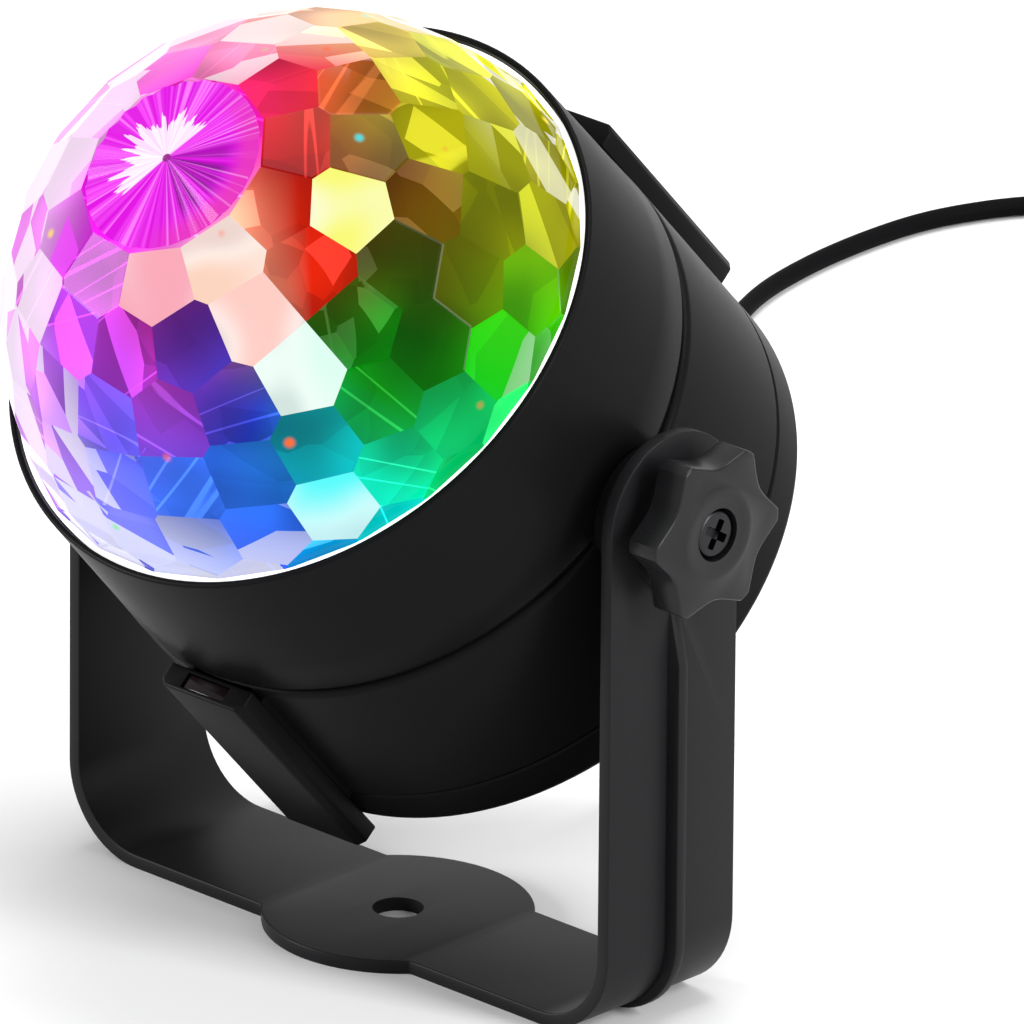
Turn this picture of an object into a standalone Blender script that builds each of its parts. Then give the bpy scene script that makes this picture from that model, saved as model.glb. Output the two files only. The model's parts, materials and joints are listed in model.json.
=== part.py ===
"""LED disco ball light: a faceted dome that turns in a round housing, held in a U-shaped bracket.

Units are metres and +Z is up. The row frame has +X along the tilt axis and -Y towards the front.
The head's own frame has its origin on the tilt axis and its Z along the dome's axis.
"""
import math

import bmesh
import bpy
import numpy as np
from mathutils import Matrix, Vector

for old in list(bpy.data.objects):
    bpy.data.objects.remove(old, do_unlink=True)

# Gaps and cuts
SEAT_GAP = 0.0003
CUT_OVERRUN = 0.0010
WELD_DISTANCE = 0.000005

# Bracket: a U-shaped strip with a round pad and a hole in its base
STRIP_WIDTH = 0.0250
STRIP_THICKNESS = 0.0020
BEND_RADIUS = 0.0130
PIVOT_HEIGHT = 0.0748
PAD_RADIUS = 0.0190
PAD_HOLE_RADIUS = 0.0036
STRIP_EDGE_ROUND = 0.0004
STRIP_TIP_TURN = math.radians(6.0)
RIB_THICKNESS = 0.0018
RIB_HEIGHT = 0.0020
RIB_TOP_BELOW_PIVOT = 0.0125
RIB_SLOPE_LENGTH = 0.0085
BRACKET_SCREW_HOLE_RADIUS = 0.0026

# Head: how it stands, and its round shells, measured along the dome's axis from the tilt axis
HEAD_ELEVATION = math.radians(48.0)
HOUSING_RADIUS = 0.0455
HOUSING_WALL = 0.0020
HOUSING_DRAFT = 0.0005
LIP_WALL = 0.00096
LIP_TOP = 0.0306
LIP_ROUND = 0.0005
SEAM = 0.0024
SEAM_GROOVE = 0.0008
BEAD_ROUND = 0.0011
SPIGOT_LENGTH = 0.0031
SPIGOT_WALL = 0.0012
CAP_SEAM = -0.0250
CAP_DEPTH = 0.0068
CAP_FLOOR = 0.0022
CAP_ROUND = 0.0014
SHELF_BELOW_LIP = 0.0071
SHELF_THICKNESS = 0.0020
SHELF_WIDTH = 0.0050

# Dome: flat facets around a sphere, a fluted cone at its crown and a boss for the spindle
DOME_CENTRE_BELOW_RIM = 0.0043
DOME_WALL = 0.0022
CROWN_RADIUS = 0.0129
CROWN_RISE = 0.0011
FLUTE_DEPTH = 0.0005
FLUTE_COUNT = 26
DOME_BOSS_RADIUS = 0.0034
DOME_BOSS_LENGTH = 0.0060
# Each row of facets: its angle from the crown, its facets, and its turn as a share of a facet
FACET_ROW_SHARES = (
    (24.5, 11, 0.0),
    (37.5, 16, 0.5),
    (50.5, 20, 0.25),
    (63.5, 23, 0.6),
    (76.5, 25, 0.1),
    (89.5, 25, 0.6),
    (102.5, 25, 0.1),
)

# Rows that only shape the ball below the rim go on to this angle
LAST_FACET_ANGLE = 170.0

# White ring around the dome's edge
RING_WALL = 0.0006
RING_FOOT_DEPTH = 0.0020
RING_FOOT_THICKNESS = 0.0014
RING_STAND = 0.0011

# Pods above and below the rear shell
POD_WIDTH = 0.0155
POD_STAND = 0.0039
POD_PAST_SEAM = 0.0018
POD_PAST_CAP = 0.0007
POD_EDGE = 0.0010
POD_POCKET_WIDTH = 0.0110
POD_POCKET_DEPTH = 0.0150
POD_WALL = 0.0020
WINDOW_WIDTH = 0.0080
WINDOW_HEIGHT = 0.0024
WINDOW_RECESS = 0.0003

# Tilt pivot on each side
PIVOT_BOSS_RADIUS = 0.0085
PIVOT_BOSS_STAND = 0.0028
PIVOT_BOSS_SINK = 0.0042
PIVOT_CORE_RADIUS = 0.0062
PIVOT_CORE_SINK = 0.0080
PIVOT_CORE_TURN = math.radians(5.0)
FRICTION_WASHER_RADIUS = 0.0116
FRICTION_WASHER_THICKNESS = 0.0011
INSERT_RADIUS = 0.0035
INSERT_LENGTH = 0.0085
SCREW_RADIUS = 0.0019
SCREW_END_PAST_INSERT = 0.0005
KNOB_WASHER_RADIUS = 0.0060
KNOB_WASHER_THICKNESS = 0.0008

# Knob: six lobes on a hub, with a sunk cross-head screw
KNOB_RADIUS = 0.0122
KNOB_VALLEY_RADIUS = 0.0096
KNOB_LOBE_COUNT = 6
KNOB_LOBE_THICKNESS = 0.0052
KNOB_HUB_RADIUS = 0.0078
KNOB_HUB_LENGTH = 0.0014
KNOB_EDGE = 0.0004
KNOB_FIRST_LOBE = math.radians(58.0)
# Around one lobe: how far along to the next as a share, and how deep towards the valley as a share
KNOB_LOBE_SHARES = (
    (-0.10, 0.0),
    (0.10, 0.0),
    (0.19, 0.48),
    (0.30, 0.84),
    (0.43, 1.0),
    (0.57, 1.0),
    (0.70, 0.84),
    (0.81, 0.48),
)
KNOB_RECESS_RADIUS = 0.0038
KNOB_RECESS_DEPTH = 0.0026
KNOB_RING_RADIUS = 0.0068
KNOB_RING_WIDTH = 0.0007
KNOB_RING_HEIGHT = 0.0002
SCREW_HEAD_RADIUS = 0.0034
SCREW_HEAD_THICKNESS = 0.0020
CROSS_LENGTH = 0.0036
CROSS_WIDTH = 0.0010
CROSS_DEPTH = 0.0012

# Posts that hold the rear cap and the control board
POST_COUNT = 3
POST_FROM_WALL = 0.0043
POST_RADIUS = 0.0029
POST_PAST_SEAM = 0.0130
POST_BORE_RADIUS = 0.0014
POST_WEB_WIDTH = 0.0020
CAP_BOSS_GAP = 0.0003
SMALL_SCREW_RADIUS = 0.0010
SMALL_SCREW_HEAD_RADIUS = 0.0020
SMALL_SCREW_HEAD_THICKNESS = 0.0014
SMALL_SCREW_LENGTH = 0.0060
CAP_SCREW_SINK = 0.0010
CAP_SCREW_RECESS_RADIUS = 0.0025
CAP_HOLE_RADIUS = 0.0013

# Deck, light board and lights under the dome
DECK_THICKNESS = 0.0016
SPINDLE_RADIUS = 0.0010
DECK_BUSH_RADIUS = 0.0032
DECK_BUSH_LENGTH = 0.0030
DECK_SCREW_FROM_WALL = 0.0028
DECK_SCREW_COUNT = 3
DECK_SCREW_LENGTH = 0.0032
LIGHT_BOARD_RADIUS = 0.0165
LIGHT_BOARD_THICKNESS = 0.0016
LIGHT_CIRCLE_RADIUS = 0.0095
LIGHT_BASE_RADIUS = 0.0039
LIGHT_BASE_THICKNESS = 0.0012
LIGHT_LENS_RADIUS = 0.0027
LIGHT_BOARD_SCREW_CIRCLE_RADIUS = 0.0130

# Drive: a motor with a pinion, a wheel on the spindle, and a frame that carries both
GEAR_MODULE = 0.00072
WHEEL_TEETH = 30
PINION_TEETH = 9
GEAR_THICKNESS = 0.0022
TOOTH_SHARE = 0.36
TOOTH_TIP_SHARE = 0.8
TOOTH_ROOT_SHARE = 1.15
PINION_HUB_RADIUS = 0.0017
WHEEL_HUB_RADIUS = 0.0028
WHEEL_HUB_LENGTH = 0.0020
DRIVE_PLATE_THICKNESS = 0.0016
DRIVE_PILLAR_RADIUS = 0.0026
DRIVE_PILLAR_COUNT = 3
DRIVE_PILLAR_TURN = math.radians(2.0)
DRIVE_PILLAR_CLEARANCE = 0.0008
PILLAR_BORE_DEPTH = 0.0050
DRIVE_ROOM = 0.0060
MOTOR_RADIUS = 0.0100
MOTOR_LENGTH = 0.0120
MOTOR_SHAFT_RADIUS = 0.0008
MOTOR_BOSS_RADIUS = 0.0025
MOTOR_BOSS_LENGTH = 0.0010
MOTOR_SHAFT_DEPTH = 0.0060
MOTOR_SCREW_OFFSET = 0.0064
MOTOR_SCREW_LENGTH = 0.0040

# Control board
BOARD_FROM_WALL = 0.0033
BOARD_THICKNESS = 0.0016
CHIP_SIZE = (0.0100, 0.0062, 0.0017)
CHIP_PLACE = (0.0120, 0.0060)
CAPACITOR_RADIUS = 0.0032
CAPACITOR_LENGTH = 0.0085
CAPACITOR_PLACE = (-0.0200, 0.0120)
MICROPHONE_RADIUS = 0.0030
MICROPHONE_LENGTH = 0.0030
MICROPHONE_PLACE = (0.0180, -0.0140)
RECEIVER_SIZE = (0.0064, 0.0026, 0.0040)
RECEIVER_LEG = 0.0005
RECEIVER_LEG_SPACING = 0.0020
RECEIVER_LEG_STAND = 0.0024
RECEIVER_LEG_INSET = 0.0017

# Cord: its strain relief, tube, coil and plug
CORD_RADIUS = 0.0014
RELIEF_BASE_RADIUS = 0.0038
RELIEF_TIP_RADIUS = 0.0022
RELIEF_LENGTH = 0.0110
RELIEF_NECK_RADIUS = 0.0028
RELIEF_FLANGE = 0.0012
RELIEF_RIB_COUNT = 3
RELIEF_GROOVE_SHARE = 0.86
CORD_POINT_SPACING = 0.0080
COIL_TURNS = 9.25
CLIMB_TURNS_SHARE = 0.12
COIL_OUTER_RADIUS = 0.0222
COIL_PITCH = 0.0034
COIL_CENTRE = (-0.0875, 0.2618)
COIL_START_TURN = math.radians(127.0)
COIL_POINTS_PER_TURN = 24
TAIL_LENGTH = 0.0140
PLUG_BODY_SIZE = (0.0240, 0.0158, 0.0080)
PLUG_BODY_ROUND = 0.0016
PLUG_SHELL_SIZE = (0.0185, 0.0120, 0.0045)
PLUG_SHELL_WALL = 0.0004
PLUG_TONGUE_THICKNESS = 0.0018
PLUG_TONGUE_BACK = 0.0010
PLUG_SOCKET_DEPTH = 0.0060
FLOOR_CLEARANCE = 0.0001
# Where the cord lies between the strain relief and the coil, chosen by hand
CORD_ROUTE = (
    (-0.0010, 0.0430, 0.0270),
    (-0.0050, 0.0540, 0.0150),
    (-0.0120, 0.0665, 0.0062),
    (-0.0220, 0.0790, 0.0022),
    (-0.0350, 0.0930, 0.0015),
    (-0.0520, 0.1100, 0.0015),
    (-0.0720, 0.1310, 0.0015),
    (-0.0930, 0.1560, 0.0015),
    (-0.1110, 0.1810, 0.0015),
    (-0.1235, 0.2015, 0.0015),
    (-0.1285, 0.2200, 0.0015),
    (-0.1293, 0.2400, 0.0015),
    (-0.1262, 0.2535, 0.0015),
    (-0.1195, 0.2645, 0.0015),
)

# Wires inside the head
WIRE_RADIUS = 0.0008
WIRE_SLOT_PLACE = 0.0250
WIRE_RISE = 0.0040
LIGHT_WIRE_END = 0.0142
MOTOR_WIRE_SIDE = 0.0080
INNER_CORD_SIDE = 0.0060

# Smoothness of round pieces
LARGE_STEPS = 32
SMALL_STEPS = 16
TINY_STEPS = 10
SCREW_STEPS = 8
ARC_STEPS = 6
ROUND_STEPS = 3
SHARP_ANGLE = math.radians(30.0)
BEVEL_ANGLE = math.radians(50.0)

# Places worked out from the sizes
INNER_RADIUS = HOUSING_RADIUS - HOUSING_WALL
SPIGOT_RADIUS = INNER_RADIUS - SEAT_GAP
LIP_RADIUS = HOUSING_RADIUS - HOUSING_DRAFT
LIP_INNER = LIP_RADIUS - LIP_WALL
RING_OUTER = LIP_INNER - SEAT_GAP
RING_INNER = RING_OUTER - RING_WALL
DOME_EDGE_REACH = RING_INNER - SEAT_GAP
DOME_RADIUS = DOME_EDGE_REACH * math.cos(math.pi / FACET_ROW_SHARES[-2][1])
DOME_RIM = LIP_TOP
DOME_CENTRE = DOME_RIM - DOME_CENTRE_BELOW_RIM
RING_FOOT_TOP = DOME_RIM - SEAT_GAP
RING_FOOT_INNER_RADIUS = DOME_RADIUS - RING_FOOT_DEPTH
CAP_REAR = CAP_SEAM - CAP_DEPTH
POD_RADIUS = HOUSING_RADIUS + POD_STAND
POD_FRONT = SEAM + POD_PAST_SEAM
POD_REAR = CAP_REAR - POD_PAST_CAP
SHELF_TOP = LIP_TOP - SHELF_BELOW_LIP
SHELF_INNER_RADIUS = INNER_RADIUS - SHELF_WIDTH
DOME_AXIS = Vector((0.0, -math.cos(HEAD_ELEVATION), math.sin(HEAD_ELEVATION)))
POD_AXIS = Vector((0.0, math.sin(HEAD_ELEVATION), math.cos(HEAD_ELEVATION)))
FRONT_REACH = -DOME_CENTRE * DOME_AXIS.y + DOME_RADIUS
REAR_REACH = POD_REAR * DOME_AXIS.y + POD_RADIUS * POD_AXIS.y
BASE_Y = (FRONT_REACH - REAR_REACH) / 2
BOSS_FACE = HOUSING_RADIUS + PIVOT_BOSS_STAND
WASHER_FACE = BOSS_FACE + SEAT_GAP + FRICTION_WASHER_THICKNESS
ARM_INNER = WASHER_FACE + SEAT_GAP
ARM_OUTER = ARM_INNER + STRIP_THICKNESS
BRACKET_WIDTH = 2 * ARM_OUTER
PIVOT_BOSS_INNER = HOUSING_RADIUS - PIVOT_BOSS_SINK
PIVOT_CORE_INNER = HOUSING_RADIUS - PIVOT_CORE_SINK
INSERT_END = BOSS_FACE - INSERT_LENGTH
KNOB_WASHER_FACE = ARM_OUTER + SEAT_GAP
KNOB_BACK = KNOB_WASHER_FACE + KNOB_WASHER_THICKNESS + SEAT_GAP
KNOB_FRONT = KNOB_BACK + KNOB_HUB_LENGTH + KNOB_LOBE_THICKNESS
CAP_INSIDE = CAP_REAR + CAP_FLOOR
POST_REAR = CAP_INSIDE + CAP_BOSS_GAP
POST_FRONT = CAP_SEAM + POST_PAST_SEAM
POST_CIRCLE_RADIUS = INNER_RADIUS - POST_FROM_WALL
DECK_SCREW_CIRCLE_RADIUS = INNER_RADIUS - DECK_SCREW_FROM_WALL
BOARD_RADIUS = INNER_RADIUS - BOARD_FROM_WALL
RECEIVER_LEG_REACH = BOARD_RADIUS - RECEIVER_LEG_INSET
BOARD_REAR = POST_FRONT + SEAT_GAP
BOARD_FRONT = BOARD_REAR + BOARD_THICKNESS
DECK_REAR = SHELF_TOP + SEAT_GAP
DECK_FRONT = DECK_REAR + DECK_THICKNESS
LIGHT_BOARD_REAR = DECK_FRONT + SEAT_GAP
LIGHT_BOARD_FRONT = LIGHT_BOARD_REAR + LIGHT_BOARD_THICKNESS
GEAR_DISTANCE = GEAR_MODULE * (WHEEL_TEETH + PINION_TEETH) / 2
PINION_TIP = GEAR_MODULE * (PINION_TEETH / 2 + TOOTH_TIP_SHARE)
DRIVE_PILLAR_CIRCLE_RADIUS = GEAR_DISTANCE + PINION_TIP + DRIVE_PILLAR_CLEARANCE + DRIVE_PILLAR_RADIUS
DRIVE_PLATE_FRONT = DECK_REAR - DRIVE_ROOM
DRIVE_PLATE_REAR = DRIVE_PLATE_FRONT - DRIVE_PLATE_THICKNESS
CROWN_PLANE = DOME_CENTRE + math.sqrt(DOME_RADIUS**2 - CROWN_RADIUS**2)
CROWN_TOP = CROWN_PLANE + CROWN_RISE


def material(name, colour, roughness, metallic=0.0):
    """A plain material with one colour."""
    made = bpy.data.materials.new(name)
    made.use_nodes = True
    shader = made.node_tree.nodes["Principled BSDF"]
    shader.inputs["Base Color"].default_value = (*colour, 1.0)
    shader.inputs["Roughness"].default_value = roughness
    shader.inputs["Metallic"].default_value = metallic
    return made


BLACK_PLASTIC = material("black_plastic", (0.030, 0.031, 0.034), 0.42)
BLACK_STRIP = material("black_strip", (0.040, 0.041, 0.044), 0.45)
BLACK_RUBBER = material("black_rubber", (0.025, 0.025, 0.026), 0.75)
WHITE_PLASTIC = material("white_plastic", (0.86, 0.86, 0.84), 0.35)
CLEAR_PLASTIC = material("clear_plastic", (0.80, 0.45, 0.75), 0.08)
DARK_WINDOW = material("dark_window", (0.015, 0.008, 0.010), 0.08)
STEEL = material("steel", (0.60, 0.60, 0.62), 0.30, 1.0)
BLACK_STEEL = material("black_steel", (0.020, 0.020, 0.022), 0.35, 1.0)
BRASS = material("brass", (0.72, 0.52, 0.22), 0.35, 1.0)
ALUMINIUM = material("aluminium", (0.75, 0.76, 0.78), 0.40, 1.0)
BOARD_GREEN = material("board_green", (0.03, 0.22, 0.08), 0.50)
CHIP_BLACK = material("chip_black", (0.02, 0.02, 0.02), 0.55)
RED_LENS = material("red_lens", (0.80, 0.08, 0.06), 0.15)
GREEN_LENS = material("green_lens", (0.08, 0.70, 0.15), 0.15)
BLUE_LENS = material("blue_lens", (0.08, 0.15, 0.80), 0.15)
GEAR_WHITE = material("gear_white", (0.80, 0.80, 0.76), 0.45)


# Empties: the bracket's middle, and the head's frame on the tilt axis
def empty(name, matrix, parent=None):
    """An empty that carries pieces."""
    made = bpy.data.objects.new(name, None)
    bpy.context.collection.objects.link(made)
    made.parent = parent
    made.matrix_local = matrix
    return made


bracket_origin = empty("bracket_origin", Matrix.Translation((0.0, BASE_Y, 0.0)))
head_origin = empty(
    "head_origin",
    Matrix.Translation((0.0, 0.0, PIVOT_HEIGHT)) @ Matrix.Rotation(math.pi / 2 - HEAD_ELEVATION, 4, "X"),
    bracket_origin,
)
row_origin = empty("row_origin", Matrix.Identity(4))
TO_RIGHT = Matrix.Rotation(math.pi / 2, 4, "Y")
TO_LEFT = Matrix.Rotation(-math.pi / 2, 4, "Y")


def add(name, bm, look, parent, matrix=None, smooth=True):
    """Makes the finished mesh an object under its parent."""
    bmesh.ops.recalc_face_normals(bm, faces=bm.faces)
    mesh = bpy.data.meshes.new(name)
    bm.to_mesh(mesh)
    bm.free()
    if smooth:
        mesh.shade_smooth()
        mesh.set_sharp_from_angle(angle=SHARP_ANGLE)
    made = bpy.data.objects.new(name, mesh)
    bpy.context.collection.objects.link(made)
    made.parent = parent
    if matrix is not None:
        made.matrix_local = matrix
    if look is not None:
        mesh.materials.append(look)
    return made


def tool(name, bm, parent, matrix=None):
    """A helper shape that is joined to a piece or cut out of it, and left out of the model."""
    made = add(name, bm, None, parent, matrix, smooth=False)
    made.hide_render = True
    made.display_type = "WIRE"
    return made


def boolean(target, operation, helper):
    """One exact cut or union on a piece."""
    step = target.modifiers.new(f"{operation.lower()}_{helper.name}", "BOOLEAN")
    step.operation = operation
    step.solver = "EXACT"
    step.object = helper
    weld = target.modifiers.new(f"weld_{helper.name}", "WELD")
    weld.merge_threshold = WELD_DISTANCE


def turned(profile, steps, matrix=None):
    """A closed outline of radius and height, spun about Z."""
    bm = bmesh.new()
    ring = [bm.verts.new((radius, 0.0, height)) for radius, height in profile]
    edges = [bm.edges.new((ring[i - 1], ring[i])) for i in range(len(ring))]
    bmesh.ops.spin(bm, geom=ring + edges, cent=(0, 0, 0), axis=(0, 0, 1), angle=math.tau, steps=steps,
                   use_merge=True)
    bmesh.ops.remove_doubles(bm, verts=bm.verts, dist=SEAT_GAP / 100)
    flat = [face for face in bm.faces if face.calc_area() < (SEAT_GAP / 100) ** 2]
    bmesh.ops.delete(bm, geom=flat, context="FACES")
    loose = [edge for edge in bm.edges if not edge.link_faces]
    bmesh.ops.delete(bm, geom=loose, context="EDGES")
    if matrix is not None:
        bm.transform(matrix)
    return bm


def disc(radius, low, high, steps, place=(0.0, 0.0), bore=None):
    """A plain round solid between two heights, with an optional bore."""
    inner = 0.0 if bore is None else bore
    profile = [(inner, low), (radius, low), (radius, high), (inner, high)]
    return turned(profile, steps, Matrix.Translation((place[0], place[1], 0.0)))


def block(low, high):
    """A box between two corners."""
    bm = bmesh.new()
    size = [b - a for a, b in zip(low, high)]
    middle = [(a + b) / 2 for a, b in zip(low, high)]
    bmesh.ops.create_cube(bm, size=1.0, matrix=Matrix.Translation(middle) @ Matrix.Diagonal((*size, 1.0)))
    return bm


def prism(outline, low, high):
    """A flat outline raised along Z."""
    bm = bmesh.new()
    base = bm.faces.new([bm.verts.new((x, y, low)) for x, y in outline])
    raised = bmesh.ops.extrude_face_region(bm, geom=[base])
    top = [item for item in raised["geom"] if isinstance(item, bmesh.types.BMVert)]
    bmesh.ops.translate(bm, verts=top, vec=(0.0, 0.0, high - low))
    return bm


def merged(parts):
    """Several separate solids in one mesh."""
    bm = bmesh.new()
    for part in parts:
        mesh = bpy.data.meshes.new("part_of_group")
        bmesh.ops.recalc_face_normals(part, faces=part.faces)
        part.to_mesh(mesh)
        part.free()
        bm.from_mesh(mesh)
        bpy.data.meshes.remove(mesh)
    return bm


def round_edges(piece, width, steps):
    """A small round on a piece's sharp edges."""
    step = piece.modifiers.new("edge_round", "BEVEL")
    step.width = width
    step.segments = steps
    step.limit_method = "ANGLE"
    step.angle_limit = BEVEL_ANGLE


def arc(centre, radius, start, end, steps):
    """Points along an arc, both ends included."""
    angles = [start + (end - start) * i / steps for i in range(steps + 1)]
    return [(centre[0] + radius * math.cos(a), centre[1] + radius * math.sin(a)) for a in angles]


def on_circle(radius, angle):
    """A place on a circle about the axis."""
    return (radius * math.cos(angle), radius * math.sin(angle))


# Bracket: the strip is swept along a U, wider at the pad and rounded over at the tops
def strip_stations():
    """Places along the strip's outer face, with the direction outwards and half the width there."""
    half = BRACKET_WIDTH / 2
    tip = STRIP_WIDTH / 2
    stations = []
    for i in range(ARC_STEPS + 1):
        angle = STRIP_TIP_TURN + (math.pi / 2 - STRIP_TIP_TURN) * i / ARC_STEPS
        stations.append((half, PIVOT_HEIGHT + tip * math.cos(angle), 1.0, 0.0, tip * math.sin(angle)))
    for i in range(ARC_STEPS + 1):
        angle = math.pi / 2 * i / ARC_STEPS
        out_x = math.cos(angle)
        out_z = -math.sin(angle)
        x = half - BEND_RADIUS + BEND_RADIUS * out_x
        z = BEND_RADIUS + BEND_RADIUS * out_z
        stations.append((x, z, out_x, out_z, tip))
    pad_start = math.asin(tip / PAD_RADIUS)
    for i in range(ARC_STEPS + 1):
        angle = pad_start + (math.pi / 2 - pad_start) * i / ARC_STEPS
        stations.append((PAD_RADIUS * math.cos(angle), 0.0, 0.0, -1.0, PAD_RADIUS * math.sin(angle)))
    mirrored = [(-x, z, -out_x, out_z, width) for x, z, out_x, out_z, width in reversed(stations[:-1])]
    return stations + mirrored


def strip_mesh():
    """The strip's four long edges, bridged from station to station."""
    bm = bmesh.new()
    loops = []
    for x, z, out_x, out_z, width in strip_stations():
        inner_x = x - STRIP_THICKNESS * out_x
        inner_z = z - STRIP_THICKNESS * out_z
        corners = [(x, -width, z), (x, width, z), (inner_x, width, inner_z), (inner_x, -width, inner_z)]
        loops.append([bm.verts.new(corner) for corner in corners])
    for before, after in zip(loops, loops[1:]):
        for i in range(4):
            bm.faces.new((before[i - 1], before[i], after[i], after[i - 1]))
    bm.faces.new(loops[0])
    bm.faces.new(list(reversed(loops[-1])))
    return bm


def rib_outline():
    """The rib's side view on the +X arm: sloped top, straight run, and an arc that ends flush below."""
    half = BRACKET_WIDTH / 2
    top = PIVOT_HEIGHT - RIB_TOP_BELOW_PIVOT
    inside = half - STRIP_THICKNESS / 2
    outline = [(inside, top), (half, top), (half + RIB_HEIGHT, top - RIB_SLOPE_LENGTH)]
    centre = (half + RIB_HEIGHT - BEND_RADIUS, BEND_RADIUS)
    outline += arc(centre, BEND_RADIUS, 0.0, -math.pi / 2, ARC_STEPS)
    back = (half - BEND_RADIUS, BEND_RADIUS)
    outline += arc(back, BEND_RADIUS - STRIP_THICKNESS / 2, -math.pi / 2, 0.0, ARC_STEPS)
    return outline


bracket = add("bracket", strip_mesh(), BLACK_STRIP, bracket_origin)
round_edges(bracket, STRIP_EDGE_ROUND, 1)
STAND_UP = Matrix.Rotation(math.pi / 2, 4, "X")
for side, name in ((1, "right"), (-1, "left")):
    rib = prism([(side * x, z) for x, z in rib_outline()], -RIB_THICKNESS / 2, RIB_THICKNESS / 2)
    boolean(bracket, "UNION", tool(f"rib_{name}", rib, bracket_origin, STAND_UP))
hole = disc(BRACKET_SCREW_HOLE_RADIUS, -ARM_OUTER - CUT_OVERRUN, ARM_OUTER + CUT_OVERRUN, SMALL_STEPS)
PIVOT_IN_BRACKET = Matrix.Translation((0.0, 0.0, PIVOT_HEIGHT)) @ TO_RIGHT
boolean(bracket, "DIFFERENCE", tool("arm_holes", hole, bracket_origin, PIVOT_IN_BRACKET))
hole = disc(PAD_HOLE_RADIUS, -CUT_OVERRUN, STRIP_THICKNESS + CUT_OVERRUN, SMALL_STEPS)
boolean(bracket, "DIFFERENCE", tool("pad_hole", hole, bracket_origin))


# Front shell: a ring with a rounded lip, a shelf for the deck and a notch around each pivot boss
def front_shell_profile():
    """Outline from the lip down the outside and back up the inside."""
    low = SEAM + SEAT_GAP
    lip_centre = (LIP_RADIUS - LIP_ROUND, LIP_TOP - LIP_ROUND)
    outline = [(LIP_INNER, LIP_TOP)]
    outline += arc(lip_centre, LIP_ROUND, math.pi / 2, 0.0, ROUND_STEPS)
    outline += [(HOUSING_RADIUS, SEAM + BEAD_ROUND + SEAT_GAP)]
    outline += [(HOUSING_RADIUS - SEAM_GROOVE, low), (INNER_RADIUS, low)]
    shelf_low = SHELF_TOP - SHELF_THICKNESS
    outline += [(INNER_RADIUS, shelf_low), (SHELF_INNER_RADIUS, shelf_low)]
    outline += [(SHELF_INNER_RADIUS, SHELF_TOP), (INNER_RADIUS, SHELF_TOP), (INNER_RADIUS, DECK_FRONT)]
    outline += [(LIP_INNER, DECK_FRONT + HOUSING_WALL)]
    return outline


front_shell = add("front_shell", turned(front_shell_profile(), LARGE_STEPS), BLACK_PLASTIC, head_origin)
notch = merged([
    disc(PIVOT_BOSS_RADIUS + SEAT_GAP, side * PIVOT_CORE_INNER, side * (ARM_OUTER + CUT_OVERRUN), LARGE_STEPS)
    for side in (1, -1)
])
boolean(front_shell, "DIFFERENCE", tool("pivot_notches", notch, head_origin, TO_RIGHT))


def screw_places(count, radius, first=math.pi / 2):
    """Places of like screws around the axis."""
    return [on_circle(radius, first + math.tau * i / count) for i in range(count)]


POST_PLACES = screw_places(POST_COUNT, POST_CIRCLE_RADIUS)
DECK_SCREW_PLACES = screw_places(DECK_SCREW_COUNT, DECK_SCREW_CIRCLE_RADIUS, -math.pi / 2)
holes = merged([
    disc(POST_BORE_RADIUS, DECK_REAR - DECK_SCREW_LENGTH, SHELF_TOP + CUT_OVERRUN, TINY_STEPS, place)
    for place in DECK_SCREW_PLACES
])
boolean(front_shell, "DIFFERENCE", tool("shelf_holes", holes, head_origin))


# Rear shell: beaded front edge, spigot, pods, pivot bosses and posts
def rear_shell_profile():
    """Outline from the spigot down the inside and back up the outside."""
    bead_centre = (HOUSING_RADIUS - BEAD_ROUND, SEAM - BEAD_ROUND)
    low = CAP_SEAM + SEAT_GAP
    outline = [(SPIGOT_RADIUS, SEAM), (SPIGOT_RADIUS, SEAM + SPIGOT_LENGTH)]
    outline += [(SPIGOT_RADIUS - SPIGOT_WALL, SEAM + SPIGOT_LENGTH)]
    outline += [(SPIGOT_RADIUS - SPIGOT_WALL, SEAM - SPIGOT_LENGTH), (INNER_RADIUS, SEAM - SPIGOT_LENGTH)]
    outline += [(INNER_RADIUS, low), (HOUSING_RADIUS, low)]
    outline += arc(bead_centre, BEAD_ROUND, 0.0, math.pi / 2, ROUND_STEPS)
    return outline


def pod_section():
    """The pod's cross-section, seen along the head's axis: it stands clear of the front shell and cap."""
    half = POD_WIDTH / 2
    low = HOUSING_RADIUS + SEAT_GAP
    return [(-half, low), (half, low), (half, POD_RADIUS - POD_EDGE), (half - POD_EDGE, POD_RADIUS),
            (POD_EDGE - half, POD_RADIUS), (-half, POD_RADIUS - POD_EDGE)]


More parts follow.
